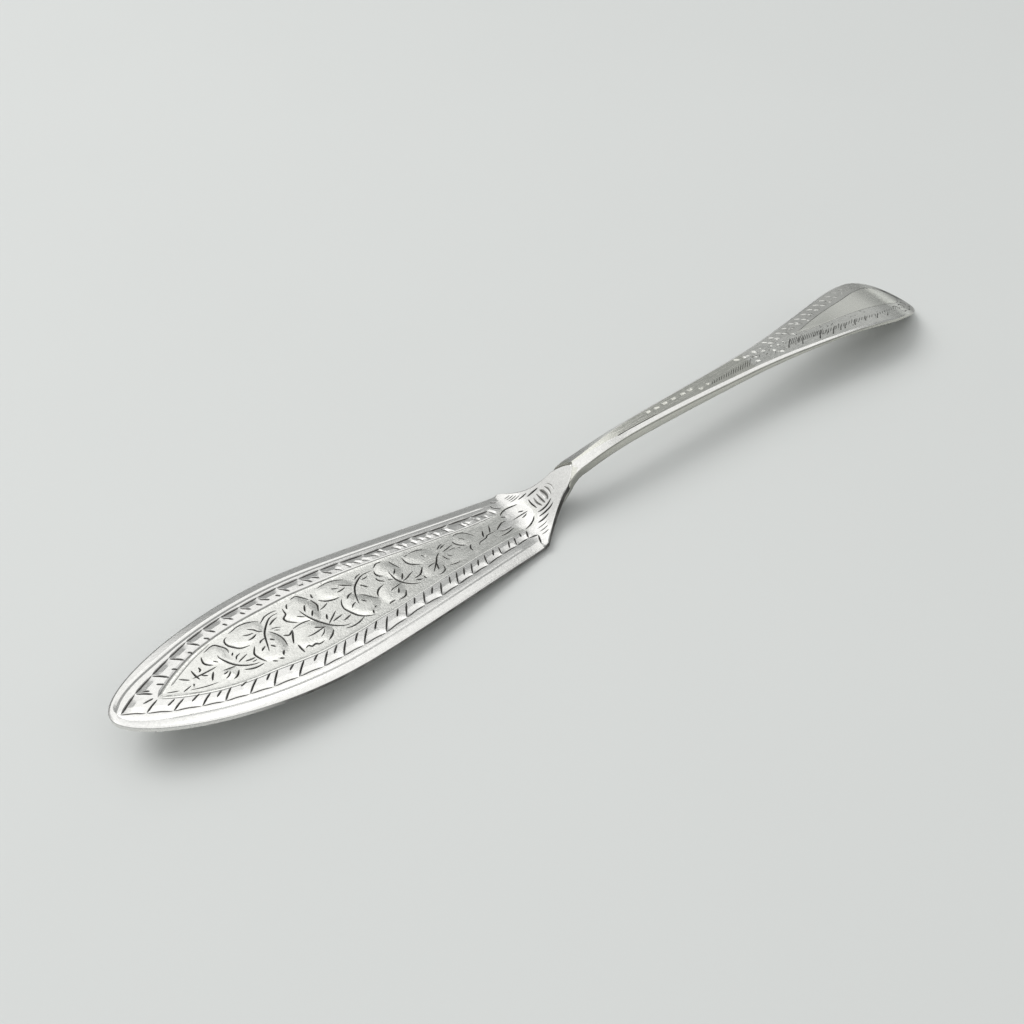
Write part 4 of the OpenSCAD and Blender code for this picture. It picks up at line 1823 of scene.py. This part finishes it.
    def shoulder_cuts(self) -> list[Groove]:
        """Ornament of the shoulders: a large leaf, a ribbed bud, hatching and the borders' ends."""
        ribs = (
            Cut(((88.0, 2.2), (87.85, 0.7), (88.15, -0.8)), 0.2, Swell.LEAF, stain=0.5),
            Cut(((88.75, 2.3), (88.7, 0.7), (88.8, -0.9)), 0.24, Swell.LEAF, stain=0.6),
            Cut(((89.5, 2.25), (89.65, 0.7), (89.5, -0.85)), 0.42, Swell.EVEN, stain=0.5),
            Cut(((90.4, 1.9), (90.55, 0.6), (90.3, -0.8)), 0.22, Swell.LEAF, stain=0.5),
            Cut(((91.0, 1.9), (91.3, 0.7), (91.1, -0.7)), 0.13, Swell.LEAF, stain=0.3),
        )
        hatch = (Cut(((0, 0), (0.9, -0.05), (1.8, 0.0)), self.fine, stain=0.6),)
        cuts = drawn(SHOULDER_BOLD, self.bold) + drawn(SHOULDER_MIDDLING, self.middling)
        cuts += [Groove.from_cut(rib) for rib in ribs]
        for path in (((84.2, -6.5), (84.4, -4.0)), ((83.9, 6.3), (84.2, 4.8))):
            places = [Spray(tuple(p), 0.8 + 0.2 * i) for i, p in enumerate(smooth_path(path, 4))]
            cuts += self.layout.scatter(places, hatch)
        return cuts

    def sheet(self) -> Sheet:
        """Carves the top sheet in plan."""
        f = self.form
        at_edge, at_roll, at_flat = (share * self.half[:, 1] for share in self.loop_shares)
        distances = (
            np.minimum(self.edge_round, at_edge),
            np.where(self.on_leaf, self.roll_width, np.minimum(f.soft + self.edge_round, at_roll)),
            np.where(self.on_leaf, f.rim_width, np.minimum(self.soft_width, at_flat)),
        )
        loops = [mirrored_loop(inset(self.half, distance)) for distance in distances]
        guard = mirrored_loop(inset(self.half, self.guard))
        grooves = self.line_cuts() + self.border_cuts() + self.vine_cuts() + self.shoulder_cuts()
        kept = kept_inside(grooves, guard)
        LOG.info("blade: %d of %d cuts inside the rim", len(kept), len(grooves))
        along = np.arange(self.fill_start, f.apex_x, self.fill_step)
        across = np.arange(-self.fill_reach, self.fill_reach + SMALL_STEP, self.fill_step)
        fill = staggered_points(along, across, self.fill_shift)
        fill = fill[inside(fill, guard) & (inside(fill, self.field) | (fill[:, 0] > self.fill_heel))]
        return carve_sheet(loops, kept, self.leaf_lobes(), fill, self.groove_slope)

    def build(self, polished: bpy.types.Material, matted: bpy.types.Material) -> bpy.types.Object:
        """Builds the carved blade.

        Args:
            polished: the finish of the metal at large.
            matted: the finish of the field's ground.

        Returns:
            The piece.
        """
        f = self.form
        sheet = self.sheet()
        drop = self.rim_fall(sheet.plan) + self.relief(sheet.plan)
        edge_drop = np.where(self.on_leaf, self.edge_drop(self.half[:, 0]), f.soft)
        drop[sheet.rim] = both_sides(edge_drop)
        top = f.on_line(f.sheet, sheet.plan, -drop - sheet.depth)
        levels = (
            (0.0, -edge_drop - self.edge_round),
            (0.0, f.edge_break - f.blade_thickness),
            (np.where(self.on_leaf, f.edge_break, self.back_inset), -f.blade_thickness),
        )
        halves = [f.on_line(f.sheet, inset(self.half, distance), level) for distance, level in levels]
        points, rings = stacked_rings(sheet, top, halves)
        walls = ring_walls(rings) + ladder(rings[-1])
        middle = sheet.plan[np.asarray(sheet.faces)].mean(1)
        ground = inside(middle, self.field) & ~inside(middle, self.heel_leaf())
        which = np.r_[ground.astype(int), np.zeros(len(walls), int)]
        # Dark colour at each point: patina in the cuts, then painted shade on the far rim's edge and on
        # the walls under the rim and the shoulders.
        cut = np.zeros(len(points))
        cut[: len(top)] = sheet.stain
        cut[sheet.rim[: len(f.leaf_half)]] = self.far_rim_painted_shade
        leaf_wall_painted_shade = self.rim_wall_painted_shade * ramp(self.half[:, 0], *self.rim_wall_shade_rise)
        for ring in rings[1:3]:
            cut[ring] = both_sides(np.where(self.on_leaf, leaf_wall_painted_shade, self.shoulder_wall_painted_shade))
        placed, faces, metals = f.to_frame(points), sheet.faces + walls, (polished, matted)
        piece = finished_piece("engraved_blade", placed, faces, cut, metals, which, self.crease)
        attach(piece, BODY)
        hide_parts("blade")
        return piece


@dataclass
class Handle:
    """The handle: ridged neck, carved top, bevels, rounded underside and flared end."""

    form: KnifeForm
    layout: CutLayout
    groove_slope: float = 0.8
    crease: float = 10.0
    arch_points: int = 24
    panel_points: int = 44
    crease_points: int = 24
    seat_wall: float = 0.02
    seat_clear: float = 5.0
    seat_margin: float = 0.03
    edge_run: float = 0.1
    edge_fall: float = 0.17
    arris_fade: float = 0.22
    rim_gap: float = 0.02
    # Painted shade: dark lines along the arris under the top bevel and along the bevel's outer edge.
    arris_painted_shade: float = 0.4
    bevel_painted_shade: float = 0.26
    bevel_shade_fade: tuple[float, float] = (160.0, 14.0)
    bevel_shade_loss: float = 0.6
    bevel_shade_start: float = 0.35
    bevel_shade_rise: float = 5.0
    # Painted shade: the sides a little darker and the underside darker.
    side_painted_shade: float = 0.06
    belly_painted_shade: float = 0.2
    belly_shade_ring: int = 6
    # Painted shade: the top of the flared end darker towards the end.
    end_painted_shade: float = 0.4
    end_shade_rise: tuple[float, float] = (181.0, 5.0)
    # Painted shade: the top darker towards its far side behind the stem.
    far_side_painted_shade: float = 0.14
    far_side_shade_rise: tuple[float, float] = (146.0, 8.0)
    far_side_shade_reach: float = 1.5
    # Painted shade on the neck's walls, fading along the neck.
    neck_painted_shade: float = 0.3
    belly_power: float = 4.6
    belly_rings: int = 12
    belly_inset: float = 0.6
    band_start: float = 141.0
    band_inset: float = 0.5
    fine: float = 0.085
    bold: float = 0.17
    brick_inset: float = 1.3
    brick_run: tuple[float, float] = (147.0, 182.0)
    nick_run: tuple[float, float] = (141.5, 183.0)
    nick_margin: float = 1.3
    nick_slant: float = 0.75
    nick_sway: float = 0.3
    nick_lengths: tuple[float, float] = (0.45, 0.9)
    guard: float = 0.3
    fill_margin: float = 0.5
    fill_reach: float = 7.0
    fill_steps: tuple[float, float] = (0.42, 0.4)
    fill_shift: float = 0.2

    @cached_property
    def half(self) -> Array:
        """Half outline of the handle."""
        return self.form.handle_half

    @cached_property
    def flat_half(self) -> Array:
        """Half outline of the top inside its bevels, as rows of x, y and z."""
        f = self.form
        return f.on_line(f.edge, inset(self.half, f.bevel(self.half)), f.crown.at(self.half[:, 0]))

    def top_z(self, plan: Array) -> Array:
        """Height of the handle's top without cuts.

        Args:
            plan: rows of x and y.

        Returns:
            The height at each point.
        """
        f = self.form
        flat = self.flat_half
        order = np.argsort(flat[:, 0])
        end = np.array([[f.length, 0.0, float(f.edge.at(f.length))]])
        line = np.vstack([flat[order], end])
        x, y = plan[:, 0], np.abs(plan[:, 1])
        inner, crown = np.interp(x, line[:, 0], line[:, 1]), np.interp(x, line[:, 0], line[:, 2])
        outer, edge = np.interp(x, self.half[:, 0], self.half[:, 1]), f.edge.at(x)
        share = np.clip((y - inner) / np.maximum(outer - inner, 1e-6), 0, 1)
        return crown + (edge - crown) * share

    def seat_z(self, plan: Array) -> Array:
        """Height of the seat under the tongue."""
        f = self.form
        depth = f.blade_thickness + f.solder_gap
        return f.sheet.at(plan[:, 0]) - depth * np.hypot(1, f.sheet.slope(plan[:, 0]))

    def seat_arch(self, spare: float) -> Array:
        """Line of the seat's pointed wall across the neck.

        Args:
            spare: how far the line stands off the tongue.

        Returns:
            Rows of x and y from one side to the other.
        """
        f = self.form
        half = f.arch(f.flush_w + spare, f.arch_length + spare, self.arch_points)
        room = f.stem.at(half[:, 0]) - self.edge_run - self.seat_margin
        half = half[half[:, 1] < room]
        return np.vstack([half, half[-2::-1] * [1, -1]])

    def cartouche(self) -> Array:
        """Closed outline of the plain pointed panel on the flared end."""
        far, near = (smooth_path(side, self.panel_points) for side in (PANEL_FAR_SIDE, PANEL_NEAR_SIDE))
        return np.vstack([far, near[::-1]])

    def brick_path(self) -> Array:
        """Path of the bricks on the far band, along the +y edge."""
        start, end = self.brick_run
        x = self.half[:, 0]
        return inset(self.half, self.brick_inset)[(x > start) & (x < end)]

    def nicks(self, motif: Cut, count: int, seed: int) -> list[Groove]:
        """Short nicks strewn over the engraved bands, slanted with the band they lie in.

        Args:
            motif: one nick of unit length.
            count: how many to strew before those on the panel are left out.
            seed: start of the random run.

        Returns:
            The nicks as grooves.
        """
        rng = np.random.default_rng(seed)
        x = rng.uniform(*self.nick_run, count)
        reach = np.interp(x, *self.half.T) - self.nick_margin
        y = reach * rng.uniform(-1, 1, count)
        sway = rng.uniform(-self.nick_sway, self.nick_sway, count)
        slant = np.where(y > 0, -self.nick_slant, self.nick_slant) + sway
        length = rng.uniform(*self.nick_lengths, count)
        start = np.stack([x, y], 1)
        end = start + length[:, None] * np.stack([np.cos(slant), np.sin(slant)], 1)
        clear = ~(inside(start, self.cartouche()) | inside(end, self.cartouche()))
        return self.layout.stretch(np.hstack([start, end])[clear], motif)

    def cuts(self) -> list[Groove]:
        """All cuts of the handle's top."""
        lay = self.layout
        bead = Cut(((-0.42, -0.3), (0, -0.34), (0.42, -0.3)), 0.2, Swell.EVEN, left=0.32, stain=0.1)
        grooves = lay.scatter([Spray((x, y), size) for x, y, size in BEADS], (bead,))
        hatch = Cut(((0, 0), (0.9, 0.95), (1.8, 1.9)), self.fine, Swell.EVEN, stain=0.8)
        hatch_path = np.array([(129.8, -1.0), (140.0, -1.55)])
        grooves += lay.repeat(hatch_path, (hatch,), 18, start_size=0.35, end_size=1.05)
        brick = (
            Cut(((-0.7, 0.58), (0, 0.0), (0.7, -0.5)), 0.1, left=0.15, stain=0.2),
            Cut(((0.35, -0.7), (1.0, -1.2), (1.65, -1.7)), 0.1, left=0.15, stain=0.2),
            Cut(((-1.0, -0.9), (-0.6, -1.3), (-0.2, -1.7)), 0.09, stain=0.7),
        )
        grooves += lay.repeat(self.brick_path(), brick, 17, start_size=0.75, end_size=1.0)
        grooves += lay.stretch(BRIGHT_RUNS, Cut.unit(0.14, left=0.36, stain=0.15))
        grooves += lay.stretch(DARK_RUNS, Cut.unit(self.bold, swell=Swell.TAIL, stain=0.75))
        shade = Cut(((0, 0), (1.0, 1.0), (2.0, 2.0)), self.fine, Swell.EVEN, stain=0.75)
        for path, count, size in (
            (((150.6, -1.7), (158.5, -3.0)), 17, 1.0),
            (((158.8, -3.2), (171.5, -4.9)), 20, 0.6),
            (((172.5, -5.2), (183.0, -4.2)), 14, 0.45),
        ):
            grooves += lay.repeat(np.array(path), (shade,), count, start_size=size, end_size=0.8 * size)
        grooves += self.nicks(Cut.unit(0.08, left=0.14, stain=0.15), count=90, seed=3)
        grooves += self.nicks(Cut.unit(0.09, stain=0.75), count=110, seed=8)
        grooves += drawn(END_CURLS, self.bold)
        crease = ((106.2, -0.85), (111.0, -0.92), (116.4, -0.98))
        grooves.append(Groove.from_cut(Cut(crease, 0.14, Swell.EVEN), self.crease_points))
        grooves.append(Groove.even(self.cartouche(), 0.08, stain=0.6))
        return grooves

    def sheet(self) -> Sheet:
        """Carves the top sheet in plan."""
        f = self.form
        behind = self.half[:, 0] > f.apex_x + self.guard
        guard = mirrored_loop(inset(self.half, self.guard)[behind])
        grooves = self.cuts()
        kept = kept_inside(grooves, guard)
        LOG.info("handle: %d of %d cuts inside the bevels", len(kept), len(grooves))
        step_along, step_across = self.fill_steps
        along = np.arange(f.apex_x + self.fill_margin, f.length - self.fill_margin, step_along)
        across = np.arange(-self.fill_reach, self.fill_reach + SMALL_STEP, step_across)
        fill = staggered_points(along, across, self.fill_shift)
        spares = (f.tongue_clearance + self.seat_wall, f.tongue_clearance)
        ridge = self.flat_half[behind, :2]
        lines = [self.seat_arch(spare) for spare in spares] + [ridge, ridge[::-1] * [1, -1]]
        rim = mirrored_loop(inset(self.half, self.edge_run))
        return carve_sheet([rim], kept, lines, fill[inside(fill, guard)], self.groove_slope)

    def dressing(self, sheet: Sheet) -> Array:
        """Metal number of each face of the top, in the order in which build takes the metals."""
        middle = sheet.plan[np.asarray(sheet.faces)].mean(1)
        plain = inside(middle, self.cartouche())
        bevel = ~inside(middle, mirrored_loop(self.flat_half[:, :2])) & (middle[:, 0] > self.form.apex_x)
        band = inside(middle, mirrored_loop(inset(self.half, self.band_inset)))
        return np.select([plain, bevel, band & (middle[:, 0] > self.band_start)], [2, 3, 1])

    def film(self, sheet: Sheet, rings: Sequence[Array]) -> Array:
        """Patina in the cuts and painted shade on the handle's edges, sides, underside, neck, far side
        and end.

        Args:
            sheet: the carved top.
            rings: point numbers of the rings, from the top's rim down.

        Returns:
            The film at each point.
        """
        f = self.form
        x, y = sheet.plan.T
        half_x = self.half[:, 0]
        count = len(x)
        # Painted shade on the sides and the underside, then on the end, the far side and the neck.
        film = np.full(rings[-1][-1] + 1, self.side_painted_shade)
        film[:count] = sheet.stain + self.end_painted_shade * ramp(x, *self.end_shade_rise)
        far_side_shade_mask = ~inside(sheet.plan, self.cartouche()) * ramp(x, *self.far_side_shade_rise)
        film[:count] += self.far_side_painted_shade * far_side_shade_mask * ramp(y, 0, self.far_side_shade_reach)
        film[rings[self.belly_shade_ring][0]:] = self.belly_painted_shade
        neck = self.neck_painted_shade * (1 - ramp(half_x, f.flush_x, f.neck_length))
        for ring in rings[1:]:
            film[ring] += both_sides(neck)
        # Painted shade along the bevel's edge and the arris, weaker at the end and near the tongue.
        fade = 1 - self.bevel_shade_loss * ramp(half_x, *self.bevel_shade_fade)
        rise = ramp(half_x, f.apex_x, self.bevel_shade_rise)
        fade *= self.bevel_shade_start + (1 - self.bevel_shade_start) * rise
        film[sheet.rim[: len(half_x)]] = self.bevel_painted_shade * fade
        film[rings[1]] = np.maximum(self.arris_painted_shade * both_sides(fade), self.side_painted_shade)
        return film

    def build(self, metals: Sequence[bpy.types.Material]) -> bpy.types.Object:
        """Builds the carved handle.

        Args:
            metals: finishes of the metal at large, the engraved bands, the plain panel and the bevels.

        Returns:
            The piece.
        """
        f = self.form
        sheet = self.sheet()
        mouth = self.seat_arch(f.tongue_clearance + 0.5 * self.seat_wall)
        front = f.tail_x - self.seat_clear
        corners = [[front, mouth[-1, 1] - self.seat_clear], [front, mouth[0, 1] + self.seat_clear]]
        seat_loop = np.vstack([mouth, corners])
        seated = inside(sheet.plan, seat_loop) | (sheet.plan[:, 0] < f.flush_x)
        z = np.where(seated, self.seat_z(sheet.plan), self.top_z(sheet.plan) - sheet.depth)
        rim_z = z[sheet.rim][: len(self.half)]
        sweep = np.linspace(0, math.pi / 2, self.belly_rings + 1)[1:]
        power = 2 / self.belly_power
        levels = [(0.0, -self.edge_fall), (0.0, -self.edge_fall - self.arris_fade)]
        for a in sweep:
            share = min(1 - max(math.cos(a), 0.0) ** power, self.belly_inset)
            levels.append((share, -math.sin(a) ** power * f.depth.at(self.half[:, 0])))
        halves = []
        for share, level in levels:
            half = f.on_line(f.edge, inset(self.half, share * self.half[:, 1]), level)
            half[:, 2] = np.minimum(half[:, 2], rim_z - self.rim_gap)
            halves.append(half)
        points, rings = stacked_rings(sheet, np.column_stack([sheet.plan, z]), halves)
        walls = ring_walls(rings) + ladder(rings[-1])
        which = np.r_[self.dressing(sheet), np.zeros(len(walls), int)]
        placed = f.to_frame(points)
        placed[:, 2] = np.maximum(placed[:, 2], 0.0)
        # Patina in the cuts and painted shade.
        cut = self.film(sheet, rings)
        faces = sheet.faces + walls
        piece = finished_piece("engraved_handle", placed, faces, cut, metals, which, self.crease)
        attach(piece, BODY)
        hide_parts("handle")
        return piece


# Studio


@dataclass(frozen=True)
class SoftBox:
    """A soft lamp that faces the knife.

    Attributes:
        name: the lamp's name.
        azimuth: its direction in degrees from +X towards +Y.
        elevation: its height in degrees over the floor.
        size: width and height in metres.
        glow: brightness of its face.
        distance: metres from the knife.
        mirrored: whether the silver shows it.
    """

    name: str
    azimuth: float
    elevation: float
    size: tuple[float, float]
    glow: float
    distance: float = 1.4
    mirrored: bool = True

    def hang(self) -> bpy.types.Object:
        """Makes the lamp and returns it."""
        light = bpy.data.lights.new(self.name, "AREA")
        light.shape = "RECTANGLE"
        light.size, light.size_y = self.size
        light.energy = self.glow * math.pi * self.size[0] * self.size[1]
        lamp = bpy.data.objects.new(self.name, light)
        a, e = math.radians(self.azimuth), math.radians(self.elevation)
        outward = Vector((math.cos(e) * math.cos(a), math.cos(e) * math.sin(a), math.sin(e)))
        lamp.location = self.distance * outward
        lamp.rotation_euler = (-outward).to_track_quat("-Z", "Y").to_euler()
        lamp.visible_glossy = self.mirrored
        bpy.context.scene.collection.objects.link(lamp)
        return lamp


@dataclass
class Studio:
    """Pale floor, soft light and the camera at the photograph's viewing angle."""

    floor_colour: tuple[float, float, float] = (0.6, 0.61, 0.598)
    floor_half: float = 4.0
    floor_lift: float = 1.04
    floor_clouds: float = 9.0
    floor_roughness: float = 0.55
    floor_shine: float = 0.2
    sky_colour: tuple[float, float, float] = (0.97, 1.0, 1.0)
    sky_low: float = 0.27
    sky_high: float = 0.385
    sky_band: float = 0.36
    camera_place: tuple[float, float, float] = (-0.10264, -0.14036, 0.18951)
    camera_lens: float = 45.72
    camera_right: tuple[float, float, float] = (0.81467, -0.578122, -0.045684)
    camera_up: tuple[float, float, float] = (0.455004, 0.588355, 0.668438)
    camera_back: tuple[float, float, float] = (-0.359561, -0.565343, 0.742364)
    lamps: tuple[SoftBox, ...] = (
        SoftBox("ceiling", 0, 89.9, (1.7, 2.1), 0.78, 1.5),
        SoftBox("window", 137, 42, (1.0, 0.9), 0.55),
        SoftBox("back", 84, 52, (0.85, 0.8), 0.8),
        SoftBox("side", 36, 24, (0.7, 0.5), 0.2),
        SoftBox("front", -55, 38, (1.0, 0.7), 0.7),
        SoftBox("key", 125, 56, (0.75, 0.75), 3.55, 1.2, mirrored=False),
    )

    def lay_floor(self) -> bpy.types.Object:
        """Lays the plain floor.

        Returns:
            The floor.
        """
        material = bpy.data.materials.new("pale_floor")
        material.use_nodes = True
        t = NodeTree(material.node_tree)
        where = t.add("ShaderNodeTexCoord").outputs["Object"]
        cloud = t.add("ShaderNodeTexNoise", {"Scale": self.floor_clouds, "Vector": where})
        feeds = {
            "Factor": cloud.outputs["Fac"],
            "A": (*self.floor_colour, 1),
            "B": (*(c * self.floor_lift for c in self.floor_colour), 1),
        }
        tone = t.add("ShaderNodeMix", feeds, data_type="RGBA")
        feeds = {
            "Base Color": tone.outputs["Result"],
            "Roughness": self.floor_roughness,
            "Specular IOR Level": self.floor_shine,
        }
        t.feed(t.tree.nodes["Principled BSDF"], feeds)
        h = self.floor_half
        mesh = bpy.data.meshes.new("floor")
        mesh.from_pydata([(-h, -h, 0), (h, -h, 0), (h, h, 0), (-h, h, 0)], [], [(0, 1, 2, 3)])
        mesh.materials.append(material)
        floor = bpy.data.objects.new("floor", mesh)
        bpy.context.scene.collection.objects.link(floor)
        return floor

    def light_room(self) -> None:
        """Sets the sky's soft gradient and hangs the lamps."""
        world = bpy.data.worlds.new("soft_room")
        world.use_nodes = True
        bpy.context.scene.world = world
        t = NodeTree(world.node_tree)
        where = t.add("ShaderNodeTexCoord").outputs["Generated"]
        split = t.add("ShaderNodeSeparateXYZ", {"Vector": where})
        feeds = {
            "Value": split.outputs["Z"],
            "From Min": 0.0,
            "From Max": self.sky_band,
            "To Min": self.sky_low,
            "To Max": self.sky_high,
        }
        up = t.add("ShaderNodeMapRange", feeds, interpolation_type="SMOOTHSTEP")
        feeds = {"Strength": up.outputs["Result"], "Color": (*self.sky_colour, 1)}
        t.feed(t.tree.nodes["Background"], feeds)
        for lamp in self.lamps:
            lamp.hang()

    def set_camera(self) -> bpy.types.Object:
        """Sets the camera.

        Returns:
            The camera, made the scene's own.
        """
        data = bpy.data.cameras.new("camera")
        data.lens = self.camera_lens
        data.sensor_width = 36.0
        data.clip_start = 0.01
        camera = bpy.data.objects.new("camera", data)
        turn = Matrix((self.camera_right, self.camera_up, self.camera_back)).transposed().to_4x4()
        camera.matrix_world = Matrix.Translation(Vector(self.camera_place)) @ turn
        bpy.context.scene.collection.objects.link(camera)
        bpy.context.scene.camera = camera
        return camera


def main() -> None:
    """Builds the knife and its studio in order."""
    logging.basicConfig(level=logging.INFO, format="%(name)s: %(message)s")
    bpy.context.scene.view_settings.view_transform = "Standard"
    effects = SharedEffects()
    metal = {f: f.value.build(effects.marks, effects.tarnish_and_shade) for f in Finish}
    form = KnifeForm()
    layout = CutLayout(metal[Finish.POLISHED])
    blade = Blade(form, layout).build(metal[Finish.POLISHED], metal[Finish.MATTED])
    handle_metals = (Finish.SHADED_HANDLE, Finish.MATTED, Finish.BURNISHED_WITH_SHEEN, Finish.POLISHED)
    handle = Handle(form, layout).build([metal[f] for f in handle_metals])
    for piece in (blade, handle):
        LOG.info("%s: %d faces", piece.name, len(piece.data.polygons))
    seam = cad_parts["solder_seam"]
    seam.data.materials.clear()
    seam.data.materials.append(metal[Finish.SOLDER])
    studio = Studio()
    studio.lay_floor()
    studio.light_room()
    studio.set_camera()
    LOG.info("boxes written")


if __name__ == "__main__":
    main()
